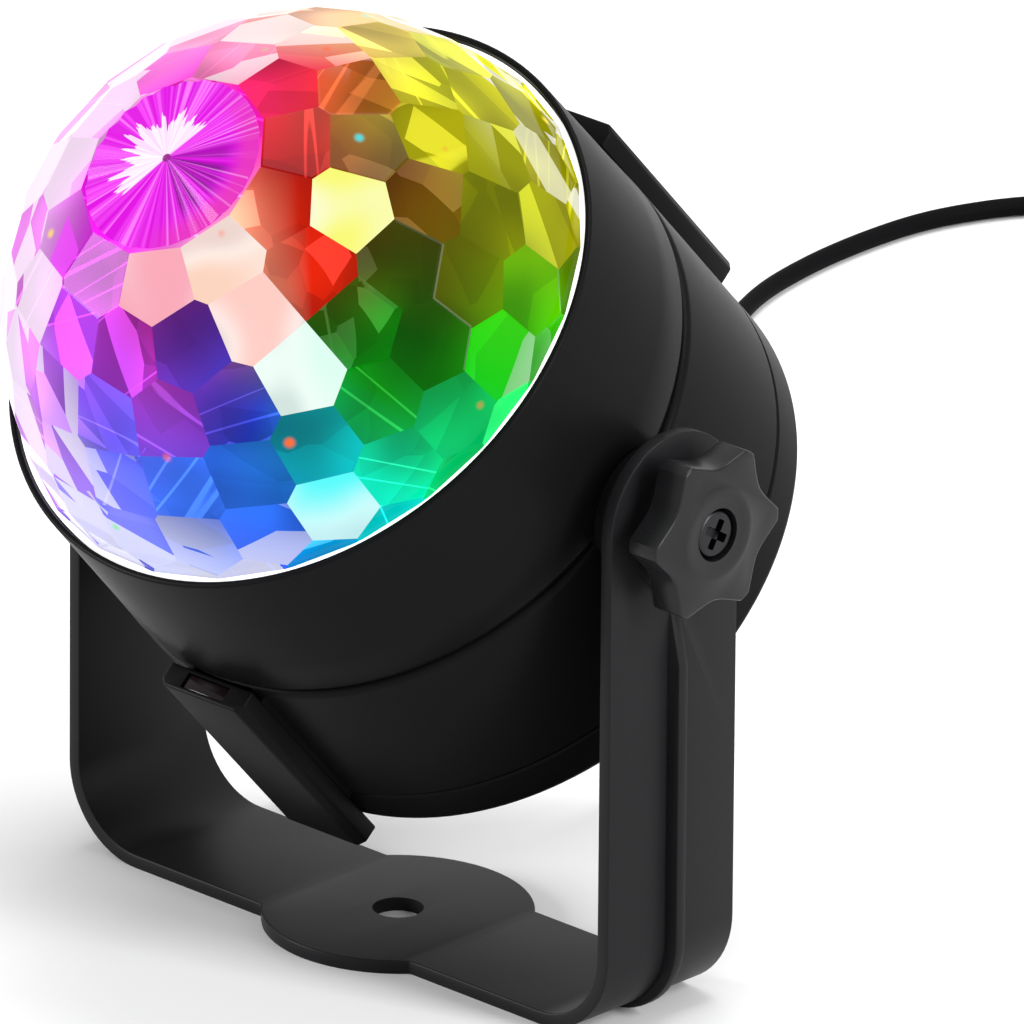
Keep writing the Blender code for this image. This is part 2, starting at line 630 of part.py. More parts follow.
rear_shell = add("rear_shell", turned(rear_shell_profile(), LARGE_STEPS), BLACK_PLASTIC, head_origin)
for side, name in ((1, "top"), (-1, "bottom")):
    flip = Matrix.Rotation(0.0 if side > 0 else math.pi, 4, "Z")
    pod = prism(pod_section(), POD_REAR, POD_FRONT)
    boolean(rear_shell, "UNION", tool(f"pod_{name}", pod, head_origin, flip))
    half = POD_WIDTH / 2
    root_low = (-half, HOUSING_RADIUS - HOUSING_WALL / 2, CAP_SEAM + SEAT_GAP)
    root_high = (half, HOUSING_RADIUS + SEAT_GAP + CUT_OVERRUN, SEAM - BEAD_ROUND)
    boolean(rear_shell, "UNION", tool(f"pod_root_{name}", block(root_low, root_high), head_origin, flip))
for side, name, turn in ((1, "right", TO_RIGHT), (-1, "left", TO_LEFT)):
    boss = disc(PIVOT_BOSS_RADIUS, PIVOT_BOSS_INNER, BOSS_FACE, LARGE_STEPS)
    boolean(rear_shell, "UNION", tool(f"pivot_boss_{name}", boss, head_origin, turn))
    core = disc(PIVOT_CORE_RADIUS, PIVOT_CORE_INNER, BOSS_FACE - CUT_OVERRUN, SMALL_STEPS)
    core_turn = turn @ Matrix.Rotation(PIVOT_CORE_TURN, 4, "Z")
    boolean(rear_shell, "UNION", tool(f"pivot_core_{name}", core, head_origin, core_turn))
for i, (x, y) in enumerate(POST_PLACES):
    post = disc(POST_RADIUS, POST_REAR, POST_FRONT, TINY_STEPS, (x, y))
    boolean(rear_shell, "UNION", tool(f"post_{i}", post, head_origin))
    web_half = POST_WEB_WIDTH / 2
    web_root = POST_CIRCLE_RADIUS + (POST_RADIUS + POST_BORE_RADIUS) / 2
    web_low = (web_root, -web_half, CAP_SEAM + SEAT_GAP + CUT_OVERRUN)
    web_high = (INNER_RADIUS + HOUSING_WALL / 2, web_half, POST_FRONT - CUT_OVERRUN)
    web_turn = Matrix.Rotation(math.atan2(y, x), 4, "Z")
    boolean(rear_shell, "UNION", tool(f"post_web_{i}", block(web_low, web_high), head_origin, web_turn))
post_bores = merged([
    disc(POST_BORE_RADIUS, POST_REAR - CUT_OVERRUN, POST_FRONT + CUT_OVERRUN, TINY_STEPS, place)
    for place in POST_PLACES
])
boolean(rear_shell, "DIFFERENCE", tool("post_bores", post_bores, head_origin))
insert_bore_radius = INSERT_RADIUS + SEAT_GAP
insert_bore = disc(insert_bore_radius, -BOSS_FACE - CUT_OVERRUN, BOSS_FACE + CUT_OVERRUN, SMALL_STEPS)
boolean(rear_shell, "DIFFERENCE", tool("insert_bores", insert_bore, head_origin, TO_RIGHT))
POD_POCKET_TOP = POD_RADIUS - POD_WALL / 2
pocket_inner = SPIGOT_RADIUS - SPIGOT_WALL - CUT_OVERRUN
pocket_low = (-POD_POCKET_WIDTH / 2, -POD_POCKET_TOP, POD_FRONT - POD_WALL - POD_POCKET_DEPTH)
pocket_high = (POD_POCKET_WIDTH / 2, -pocket_inner, POD_FRONT - POD_WALL)
boolean(rear_shell, "DIFFERENCE", tool("receiver_pocket", block(pocket_low, pocket_high), head_origin))
WINDOW_MIDDLE = -(HOUSING_RADIUS + SEAT_GAP + POD_RADIUS) / 2
window_low = (-WINDOW_WIDTH / 2, WINDOW_MIDDLE - WINDOW_HEIGHT / 2, POD_FRONT - POD_WALL - CUT_OVERRUN)
window_high = (WINDOW_WIDTH / 2, WINDOW_MIDDLE + WINDOW_HEIGHT / 2, POD_FRONT + CUT_OVERRUN)
boolean(rear_shell, "DIFFERENCE", tool("window_cut", block(window_low, window_high), head_origin))

# Window: a dark infrared filter in the lower pod's front face
pane_width = WINDOW_WIDTH / 2 - SEAT_GAP
pane_height = WINDOW_HEIGHT / 2 - SEAT_GAP
window_low = (-pane_width, WINDOW_MIDDLE - pane_height, POD_FRONT - POD_WALL)
window_high = (pane_width, WINDOW_MIDDLE + pane_height, POD_FRONT - WINDOW_RECESS)
add("ir_window", block(window_low, window_high), DARK_WINDOW, head_origin, smooth=False)


# Rear cap: a shallow cup with sunk screws and a hole for the strain relief
def rear_cap_profile():
    """Outline of the cup, from its rim down the outside to the rear face and back up the inside."""
    round_centre = (HOUSING_RADIUS - CAP_ROUND, CAP_REAR + CAP_ROUND)
    outline = [(INNER_RADIUS, CAP_SEAM), (HOUSING_RADIUS, CAP_SEAM)]
    outline += arc(round_centre, CAP_ROUND, 0.0, -math.pi / 2, ROUND_STEPS)
    outline += [(0.0, CAP_REAR), (0.0, CAP_INSIDE), (INNER_RADIUS, CAP_INSIDE)]
    return outline


rear_cap = add("rear_cap", turned(rear_cap_profile(), LARGE_STEPS), BLACK_PLASTIC, head_origin)
cap_cuts = []
for place in POST_PLACES:
    sunk_to = CAP_REAR + CAP_SCREW_SINK
    cap_cuts.append(disc(CAP_SCREW_RECESS_RADIUS, CAP_REAR - CUT_OVERRUN, sunk_to, TINY_STEPS, place))
boolean(rear_cap, "DIFFERENCE", tool("cap_recesses", merged(cap_cuts), head_origin))
cap_cuts = [
    disc(CAP_HOLE_RADIUS, CAP_REAR - CUT_OVERRUN, CAP_INSIDE + CUT_OVERRUN, TINY_STEPS, place)
    for place in POST_PLACES
]
relief_hole_radius = RELIEF_NECK_RADIUS + SEAT_GAP
cap_cuts.append(disc(relief_hole_radius, CAP_REAR - CUT_OVERRUN, CAP_INSIDE + CUT_OVERRUN, SMALL_STEPS))
boolean(rear_cap, "DIFFERENCE", tool("cap_holes", merged(cap_cuts), head_origin))


# Small screws: a round head and a plain shank
def small_screw(place, seat, towards, length):
    """A pan-head screw whose head rests on a seat and whose shank runs the given way."""
    x, y = place
    head_end = seat - towards * SMALL_SCREW_HEAD_THICKNESS
    profile = [(0.0, head_end), (SMALL_SCREW_HEAD_RADIUS, head_end), (SMALL_SCREW_HEAD_RADIUS, seat),
               (SMALL_SCREW_RADIUS, seat), (SMALL_SCREW_RADIUS, seat + towards * length),
               (0.0, seat + towards * length)]
    return turned(profile, SCREW_STEPS, Matrix.Translation((x, y, 0.0)))


def add_screws(name, places, seat, towards, length):
    """Like screws at several places, each a piece of its own."""
    for i, place in enumerate(places):
        add(f"{name}_{i + 1}", small_screw(place, seat, towards, length), STEEL, head_origin)


add_screws("cap_screw", POST_PLACES, CAP_REAR + CAP_SCREW_SINK - SEAT_GAP, 1, SMALL_SCREW_LENGTH)

# Strain relief: a flange inside the cap, a neck through it and a ribbed taper outside
RELIEF_TIP = CAP_REAR - RELIEF_LENGTH
relief_profile = [
    (0.0, CAP_INSIDE + SEAT_GAP + RELIEF_FLANGE),
    (RELIEF_BASE_RADIUS, CAP_INSIDE + SEAT_GAP + RELIEF_FLANGE),
    (RELIEF_BASE_RADIUS, CAP_INSIDE + SEAT_GAP),
    (RELIEF_NECK_RADIUS, CAP_INSIDE + SEAT_GAP),
    (RELIEF_NECK_RADIUS, CAP_REAR - SEAT_GAP),
    (RELIEF_BASE_RADIUS, CAP_REAR - SEAT_GAP),
    (RELIEF_BASE_RADIUS, CAP_REAR - SEAT_GAP - RELIEF_FLANGE),
]
for i in range(RELIEF_RIB_COUNT):
    share = i / RELIEF_RIB_COUNT
    next_share = (i + 1) / RELIEF_RIB_COUNT
    middle_share = (share + next_share) / 2
    start = CAP_REAR - SEAT_GAP - RELIEF_FLANGE
    low_radius = RELIEF_NECK_RADIUS + (RELIEF_TIP_RADIUS - RELIEF_NECK_RADIUS) * share
    relief_profile.append((low_radius, start + (RELIEF_TIP - start) * share))
    relief_profile.append((low_radius, start + (RELIEF_TIP - start) * middle_share))
    if i < RELIEF_RIB_COUNT - 1:
        groove = low_radius * RELIEF_GROOVE_SHARE
        relief_profile.append((groove, start + (RELIEF_TIP - start) * middle_share))
        relief_profile.append((groove, start + (RELIEF_TIP - start) * next_share))
relief_profile += [(RELIEF_TIP_RADIUS, RELIEF_TIP), (0.0, RELIEF_TIP)]
add("strain_relief", turned(relief_profile, TINY_STEPS), BLACK_RUBBER, head_origin)


# Dome: facets are planes that touch a sphere, one for each point of staggered rows
def facet_directions():
    """Unit vectors to the middle of each facet, with one at the crown and one opposite."""
    directions = [Vector((0.0, 0.0, 1.0)), Vector((0.0, 0.0, -1.0))]
    rows = list(FACET_ROW_SHARES)
    last_angle, last_count, last_turn = rows[-1]
    step = rows[-1][0] - rows[-2][0]
    while last_angle + step < LAST_FACET_ANGLE:
        last_angle += step
        last_count = max(3, round(FACET_ROW_SHARES[-1][1] * math.sin(math.radians(last_angle))))
        rows.append((last_angle, last_count, last_turn))
    for angle, count, turn in rows:
        polar = math.radians(angle)
        for i in range(count):
            azimuth = math.tau * (i + turn) / count
            directions.append(Vector((math.sin(polar) * math.cos(azimuth),
                                      math.sin(polar) * math.sin(azimuth), math.cos(polar))))
    return directions


def faceted_ball():
    """The solid that all the facet planes leave, made from the hull of the points where they touch."""
    hull = bmesh.new()
    for direction in facet_directions():
        hull.verts.new(direction)
    bmesh.ops.convex_hull(hull, input=hull.verts)
    bmesh.ops.triangulate(hull, faces=hull.faces)
    hull.verts.index_update()
    ball = bmesh.new()
    corner = {}
    for face in hull.faces:
        face.normal_update()
        reach = face.verts[0].co.dot(face.normal)
        corner[face] = ball.verts.new(face.normal * (DOME_RADIUS / reach))
    for vert in hull.verts:
        centre = vert.co
        side = centre.orthogonal().normalized()
        up = centre.cross(side)
        around = sorted(vert.link_faces, key=lambda f: math.atan2(f.normal.dot(up), f.normal.dot(side)))
        ball.faces.new([corner[face] for face in around])
    hull.free()
    bmesh.ops.remove_doubles(ball, verts=ball.verts, dist=SEAT_GAP / 3)
    return ball


def dome_mesh():
    """The faceted ball, cut flat at the rim and at the crown, with the fluted cone on top."""
    bm = faceted_ball()
    bmesh.ops.translate(bm, verts=bm.verts, vec=(0.0, 0.0, DOME_CENTRE))
    for height, normal in ((DOME_RIM, (0, 0, -1)), (CROWN_PLANE, (0, 0, 1))):
        cut = bmesh.ops.bisect_plane(bm, geom=bm.verts[:] + bm.edges[:] + bm.faces[:], plane_co=(0, 0, height),
                                     plane_no=normal, clear_outer=True)
        edges = [item for item in cut["geom_cut"] if isinstance(item, bmesh.types.BMEdge)]
        bmesh.ops.edgeloop_fill(bm, edges=edges)
    return bm


def crown_mesh():
    """A shallow cone with alternating ridges and valleys, let into the flat crown."""
    bm = bmesh.new()
    root = CROWN_PLANE - DOME_WALL / 2
    low = []
    high = []
    reach = CROWN_RADIUS * math.cos(math.pi / FACET_ROW_SHARES[0][1])
    for i in range(2 * FLUTE_COUNT):
        x, y = on_circle(reach, math.pi * i / FLUTE_COUNT)
        lift = FLUTE_DEPTH if i % 2 else SEAT_GAP / 3
        low.append(bm.verts.new((x, y, root)))
        high.append(bm.verts.new((x, y, CROWN_PLANE + lift)))
    top = bm.verts.new((0.0, 0.0, CROWN_TOP))
    for i in range(2 * FLUTE_COUNT):
        bm.faces.new((low[i - 1], low[i], high[i], high[i - 1]))
        bm.faces.new((high[i - 1], high[i], top))
    bm.faces.new(list(reversed(low)))
    return bm


def dome_cavity():
    """The hollow of the dome, which leaves a boss with a bore on the axis."""
    inner = DOME_RADIUS - DOME_WALL
    boss_angle = math.asin(DOME_BOSS_RADIUS / inner)
    boss_low = DOME_CENTRE + inner * math.cos(boss_angle) - DOME_BOSS_LENGTH
    bore = SPINDLE_RADIUS + SEAT_GAP
    low = DOME_RIM - CUT_OVERRUN
    rim_angle = math.acos((low - DOME_CENTRE) / inner)
    outline = [(0.0, low)]
    for i in range(ARC_STEPS + ROUND_STEPS):
        angle = rim_angle + (boss_angle - rim_angle) * i / (ARC_STEPS + ROUND_STEPS - 1)
        outline.append((inner * math.sin(angle), DOME_CENTRE + inner * math.cos(angle)))
    outline += [(DOME_BOSS_RADIUS, boss_low), (bore, boss_low), (bore, CROWN_TOP + CUT_OVERRUN)]
    outline += [(0.0, CROWN_TOP + CUT_OVERRUN)]
    return outline


dome_pivot = empty("dome_pivot", Matrix.Identity(4), head_origin)
dome = add("dome", dome_mesh(), CLEAR_PLASTIC, dome_pivot, smooth=False)
boolean(dome, "UNION", tool("crown", crown_mesh(), dome_pivot))
boolean(dome, "DIFFERENCE", tool("dome_hollow", turned(dome_cavity(), LARGE_STEPS), dome_pivot))

# White ring: a foot under the dome's edge and a thin upstand around it
ring_profile = [
    (RING_FOOT_INNER_RADIUS, RING_FOOT_TOP - RING_FOOT_THICKNESS),
    (RING_OUTER, RING_FOOT_TOP - RING_FOOT_THICKNESS),
    (RING_OUTER, DOME_RIM + RING_STAND),
    (RING_INNER, DOME_RIM + RING_STAND),
    (RING_INNER, RING_FOOT_TOP),
    (RING_FOOT_INNER_RADIUS, RING_FOOT_TOP),
]
add("dome_rim_ring", turned(ring_profile, LARGE_STEPS), WHITE_PLASTIC, dome_pivot)

# Spindle: a thin steel rod from the drive up to the dome's crown
SPINDLE_LOW = DRIVE_PLATE_FRONT - DRIVE_PLATE_THICKNESS
SPINDLE_TOP = CROWN_TOP - SEAT_GAP
spindle = disc(SPINDLE_RADIUS, SPINDLE_LOW, SPINDLE_TOP, TINY_STEPS)
add("dome_spindle", spindle, STEEL, dome_pivot)


# Deck: the white reflector plate, with a long bush for the spindle
def deck_profile():
    """A disc with a raised rim at its middle."""
    outer = INNER_RADIUS - SEAT_GAP
    bush = DECK_FRONT + DECK_BUSH_LENGTH
    bore = SPINDLE_RADIUS + SEAT_GAP
    return [(bore, DECK_REAR), (outer, DECK_REAR), (outer, DECK_FRONT), (DECK_BUSH_RADIUS, DECK_FRONT),
            (DECK_BUSH_RADIUS, bush), (bore, bush)]


deck = add("led_deck", turned(deck_profile(), LARGE_STEPS), WHITE_PLASTIC, head_origin)
LIGHT_SCREW_PLACES = screw_places(2, LIGHT_BOARD_SCREW_CIRCLE_RADIUS, math.pi / 6)
PILLAR_PLACES = screw_places(DRIVE_PILLAR_COUNT, DRIVE_PILLAR_CIRCLE_RADIUS, DRIVE_PILLAR_TURN)
deck_holes = merged([
    disc(CAP_HOLE_RADIUS, DECK_REAR - CUT_OVERRUN, DECK_FRONT + CUT_OVERRUN, TINY_STEPS, place)
    for place in DECK_SCREW_PLACES + LIGHT_SCREW_PLACES + PILLAR_PLACES
])
boolean(deck, "DIFFERENCE", tool("deck_holes", deck_holes, head_origin))
add_screws("deck_screw", DECK_SCREW_PLACES, DECK_FRONT + SEAT_GAP, -1, DECK_SCREW_LENGTH)

# Light board: an aluminium disc on the deck, with three lights and two screws
light_board = disc(LIGHT_BOARD_RADIUS, LIGHT_BOARD_REAR, LIGHT_BOARD_FRONT, 2 * SMALL_STEPS,
                   bore=DECK_BUSH_RADIUS + SEAT_GAP)
light_board = add("light_board", light_board, ALUMINIUM, head_origin)
board_cuts = merged([
    disc(CAP_HOLE_RADIUS, LIGHT_BOARD_REAR - CUT_OVERRUN, LIGHT_BOARD_FRONT + CUT_OVERRUN, TINY_STEPS, place)
    for place in LIGHT_SCREW_PLACES
])
boolean(light_board, "DIFFERENCE", tool("light_board_holes", board_cuts, head_origin))
add_screws("light_board_screw", LIGHT_SCREW_PLACES, LIGHT_BOARD_FRONT + SEAT_GAP, -1, DECK_SCREW_LENGTH)


def light_profile():
    """A round base with a domed lens."""
    low = LIGHT_BOARD_FRONT + SEAT_GAP
    step = low + LIGHT_BASE_THICKNESS
    outline = [(0.0, low), (LIGHT_BASE_RADIUS, low), (LIGHT_BASE_RADIUS, step)]
    outline += arc((0.0, step), LIGHT_LENS_RADIUS, 0.0, math.pi / 2, ROUND_STEPS)
    return outline


for name, look, turn in (("red", RED_LENS, 0.0), ("green", GREEN_LENS, 1.0), ("blue", BLUE_LENS, 2.0)):
    x, y = on_circle(LIGHT_CIRCLE_RADIUS, math.tau * turn / 3)
    light = turned(light_profile(), TINY_STEPS, Matrix.Translation((x, y, 0.0)))
    add(f"led_{name}", light, look, head_origin)


# Gears: straight teeth with trapezoid sides, a wheel on the spindle and a pinion on the motor's shaft
TOOTH_CORNERS = (
    ("root", -1.25),
    ("tip", -0.62),
    ("tip", 0.62),
    ("root", 1.25),
)


def gear_outline(teeth, first):
    """The outline of a spur gear, with one tooth in the first direction."""
    pitch_radius = GEAR_MODULE * teeth / 2
    radii = {"root": pitch_radius - GEAR_MODULE * TOOTH_ROOT_SHARE,
             "tip": pitch_radius + GEAR_MODULE * TOOTH_TIP_SHARE}
    step = math.tau / teeth
    outline = []
    for i in range(teeth):
        for corner, corner_share in TOOTH_CORNERS:
            angle = first + step * (i + corner_share * TOOTH_SHARE / 2)
            outline.append(on_circle(radii[corner], angle))
    return outline


def gear(name, teeth, first, hub_radius, bore, look, parent):
    """A toothed disc with a hub behind it and a bore through both."""
    wheel = add(name, prism(gear_outline(teeth, first), GEAR_REAR, GEAR_FRONT), look, parent)
    hub = disc(hub_radius, DRIVE_PLATE_FRONT + SEAT_GAP, GEAR_REAR + GEAR_THICKNESS / 2, TINY_STEPS)
    boolean(wheel, "UNION", tool(f"{name}_hub", hub, parent))
    hole = disc(bore, DRIVE_PLATE_FRONT, GEAR_FRONT + CUT_OVERRUN, TINY_STEPS)
    boolean(wheel, "DIFFERENCE", tool(f"{name}_bore", hole, parent))
    return wheel


GEAR_REAR = DRIVE_PLATE_FRONT + SEAT_GAP + WHEEL_HUB_LENGTH
GEAR_FRONT = GEAR_REAR + GEAR_THICKNESS
MOTOR_FRONT = DRIVE_PLATE_REAR - SEAT_GAP
MOTOR_REAR = MOTOR_FRONT - MOTOR_LENGTH
motor_axis = empty("motor_axis", Matrix.Translation((GEAR_DISTANCE, 0.0, 0.0)), head_origin)
gear("spindle_wheel", WHEEL_TEETH, 0.0, WHEEL_HUB_RADIUS, SPINDLE_RADIUS + SEAT_GAP, GEAR_WHITE, dome_pivot)
pinion_turn = math.pi + math.pi / PINION_TEETH
pinion_bore = MOTOR_SHAFT_RADIUS + SEAT_GAP
gear("motor_pinion", PINION_TEETH, pinion_turn, PINION_HUB_RADIUS, pinion_bore, BRASS, motor_axis)
shaft = disc(MOTOR_SHAFT_RADIUS, MOTOR_FRONT - MOTOR_SHAFT_DEPTH + SEAT_GAP, GEAR_FRONT, TINY_STEPS)
add("motor_shaft", shaft, STEEL, motor_axis)

# Drive frame: a round plate on three pillars under the deck
DRIVE_PLATE_RADIUS = DRIVE_PILLAR_CIRCLE_RADIUS + DRIVE_PILLAR_RADIUS
drive_frame = add("drive_frame", disc(DRIVE_PLATE_RADIUS, DRIVE_PLATE_REAR, DRIVE_PLATE_FRONT, 2 * SMALL_STEPS),
                  GEAR_WHITE, head_origin)
for i, place in enumerate(PILLAR_PLACES):
    pillar = disc(DRIVE_PILLAR_RADIUS - SEAT_GAP, DRIVE_PLATE_REAR + SEAT_GAP, DECK_REAR - SEAT_GAP, TINY_STEPS,
                  place)
    boolean(drive_frame, "UNION", tool(f"drive_pillar_{i}", pillar, head_origin))
MOTOR_SCREW_PLACES = [(GEAR_DISTANCE, side * MOTOR_SCREW_OFFSET) for side in (1, -1)]
plate_cuts = [
    disc(POST_BORE_RADIUS, DECK_REAR - PILLAR_BORE_DEPTH, DECK_REAR + CUT_OVERRUN, TINY_STEPS, place)
    for place in PILLAR_PLACES
]
plate_holes = [(place, CAP_HOLE_RADIUS) for place in MOTOR_SCREW_PLACES]
plate_holes += [((0.0, 0.0), SPINDLE_RADIUS + SEAT_GAP), ((GEAR_DISTANCE, 0.0), MOTOR_BOSS_RADIUS + SEAT_GAP)]
for place, radius in plate_holes:
    low = DRIVE_PLATE_REAR - CUT_OVERRUN
    plate_cuts.append(disc(radius, low, DRIVE_PLATE_FRONT + CUT_OVERRUN, TINY_STEPS, place))
boolean(drive_frame, "DIFFERENCE", tool("drive_frame_cuts", merged(plate_cuts), head_origin))
add_screws("drive_frame_screw", PILLAR_PLACES, DECK_FRONT + SEAT_GAP, -1, SMALL_SCREW_LENGTH)
add_screws("motor_screw", MOTOR_SCREW_PLACES, DRIVE_PLATE_FRONT + SEAT_GAP, -1, MOTOR_SCREW_LENGTH)

# Motor: a round can with a small boss and a bore for its shaft
motor_profile = [
    (0.0, MOTOR_REAR), (MOTOR_RADIUS, MOTOR_REAR), (MOTOR_RADIUS, MOTOR_FRONT),
    (MOTOR_BOSS_RADIUS, MOTOR_FRONT), (MOTOR_BOSS_RADIUS, MOTOR_FRONT + MOTOR_BOSS_LENGTH),
    (pinion_bore, MOTOR_FRONT + MOTOR_BOSS_LENGTH), (pinion_bore, MOTOR_FRONT - MOTOR_SHAFT_DEPTH),
    (0.0, MOTOR_FRONT - MOTOR_SHAFT_DEPTH),
]
motor = add("motor_can", turned(motor_profile, 2 * SMALL_STEPS), STEEL, motor_axis)
motor_holes = merged([
    disc(POST_BORE_RADIUS, MOTOR_FRONT - MOTOR_SCREW_LENGTH, MOTOR_FRONT + CUT_OVERRUN, TINY_STEPS, place)
    for place in MOTOR_SCREW_PLACES
])
boolean(motor, "DIFFERENCE", tool("motor_screw_holes", motor_holes, head_origin))

# Control board on the three posts, with its parts
control_board = add("control_board", disc(BOARD_RADIUS, BOARD_REAR, BOARD_FRONT, LARGE_STEPS), BOARD_GREEN,
                    head_origin)
board_cuts = merged([
    disc(CAP_HOLE_RADIUS, BOARD_REAR - CUT_OVERRUN, BOARD_FRONT + CUT_OVERRUN, TINY_STEPS, place)
    for place in POST_PLACES
])
boolean(control_board, "DIFFERENCE", tool("board_holes", board_cuts, head_origin))
add_screws("board_screw", POST_PLACES, BOARD_FRONT + SEAT_GAP, -1, SMALL_SCREW_LENGTH)
ON_BOARD = BOARD_FRONT + SEAT_GAP
chip_low = (CHIP_PLACE[0] - CHIP_SIZE[0] / 2, CHIP_PLACE[1] - CHIP_SIZE[1] / 2, ON_BOARD)
chip_high = (chip_low[0] + CHIP_SIZE[0], chip_low[1] + CHIP_SIZE[1], ON_BOARD + CHIP_SIZE[2])
add("control_chip", block(chip_low, chip_high), CHIP_BLACK, head_origin, smooth=False)
capacitor = disc(CAPACITOR_RADIUS, ON_BOARD, ON_BOARD + CAPACITOR_LENGTH, SMALL_STEPS, CAPACITOR_PLACE)
add("capacitor", capacitor, ALUMINIUM, head_origin)
microphone_front = BOARD_REAR - SEAT_GAP
microphone = disc(MICROPHONE_RADIUS, microphone_front - MICROPHONE_LENGTH, microphone_front, SMALL_STEPS,
                  MICROPHONE_PLACE)
add("microphone", microphone, ALUMINIUM, head_origin)

# Infrared receiver: a block behind the window, with three bent legs down to the board
receiver_front = POD_FRONT - POD_WALL - SEAT_GAP
receiver_outer = -(POD_POCKET_TOP - SEAT_GAP)
receiver_low = (-RECEIVER_SIZE[0] / 2, receiver_outer, receiver_front - RECEIVER_SIZE[2])
receiver_high = (RECEIVER_SIZE[0] / 2, receiver_outer + RECEIVER_SIZE[1], receiver_front)
receiver = add("ir_receiver", block(receiver_low, receiver_high), CHIP_BLACK, head_origin, smooth=False)
leg_start = receiver_outer + RECEIVER_SIZE[1] / 2
leg_turn = ON_BOARD + RECEIVER_LEG_STAND
leg_path = [
    (leg_start - RECEIVER_LEG / 2, receiver_low[2] + RECEIVER_LEG),
    (leg_start - RECEIVER_LEG / 2, leg_turn),
    (-RECEIVER_LEG_REACH, leg_turn),
    (-RECEIVER_LEG_REACH, ON_BOARD),
    (RECEIVER_LEG - RECEIVER_LEG_REACH, ON_BOARD),
    (RECEIVER_LEG - RECEIVER_LEG_REACH, leg_turn + RECEIVER_LEG),
    (leg_start + RECEIVER_LEG / 2, leg_turn + RECEIVER_LEG),
    (leg_start + RECEIVER_LEG / 2, receiver_low[2] + RECEIVER_LEG),
]
SIDE_VIEW = Matrix(((0, 0, 1, 0), (1, 0, 0, 0), (0, 1, 0, 0), (0, 0, 0, 1)))
for i in (-1, 0, 1):
    middle = i * RECEIVER_LEG_SPACING
    leg = prism(leg_path, middle - RECEIVER_LEG / 2, middle + RECEIVER_LEG / 2)
    boolean(receiver, "UNION", tool(f"receiver_leg_{i + 1}", leg, head_origin, SIDE_VIEW))

# Tilt pivot on each side: brass insert, friction washer, knob washer, knob and screw
KNOB_FIRST_IN_HEAD = KNOB_FIRST_LOBE + HEAD_ELEVATION
LOBE_STEP = math.tau / KNOB_LOBE_COUNT


def knob_outline():
    """Six blunt tips with hollow arcs between them."""
    outline = []
    for i in range(KNOB_LOBE_COUNT):
        tip = KNOB_FIRST_IN_HEAD + LOBE_STEP * i
        for angle_share, depth_share in KNOB_LOBE_SHARES:
            radius = KNOB_RADIUS + (KNOB_VALLEY_RADIUS - KNOB_RADIUS) * depth_share
            outline.append(on_circle(radius, tip + angle_share * LOBE_STEP))
    return outline


def knob_mesh():
    """The lobed body with a fine chamfer on its front edge."""
    bm = prism(knob_outline(), KNOB_BACK + KNOB_HUB_LENGTH, KNOB_FRONT)
    rims = [edge for edge in bm.edges if min(vert.co.z for vert in edge.verts) > KNOB_FRONT - KNOB_EDGE]
    bmesh.ops.bevel(bm, geom=rims, offset=KNOB_EDGE, segments=1, affect="EDGES")
    return bm


def screw_profile():
    """A sunk head and a plain shank that ends past the insert."""
    seat = KNOB_FRONT - KNOB_RECESS_DEPTH + SEAT_GAP
    end = INSERT_END - SCREW_END_PAST_INSERT
    return [(0.0, end), (SCREW_RADIUS, end), (SCREW_RADIUS, seat), (SCREW_HEAD_RADIUS, seat),
            (SCREW_HEAD_RADIUS, seat + SCREW_HEAD_THICKNESS), (0.0, seat + SCREW_HEAD_THICKNESS)]


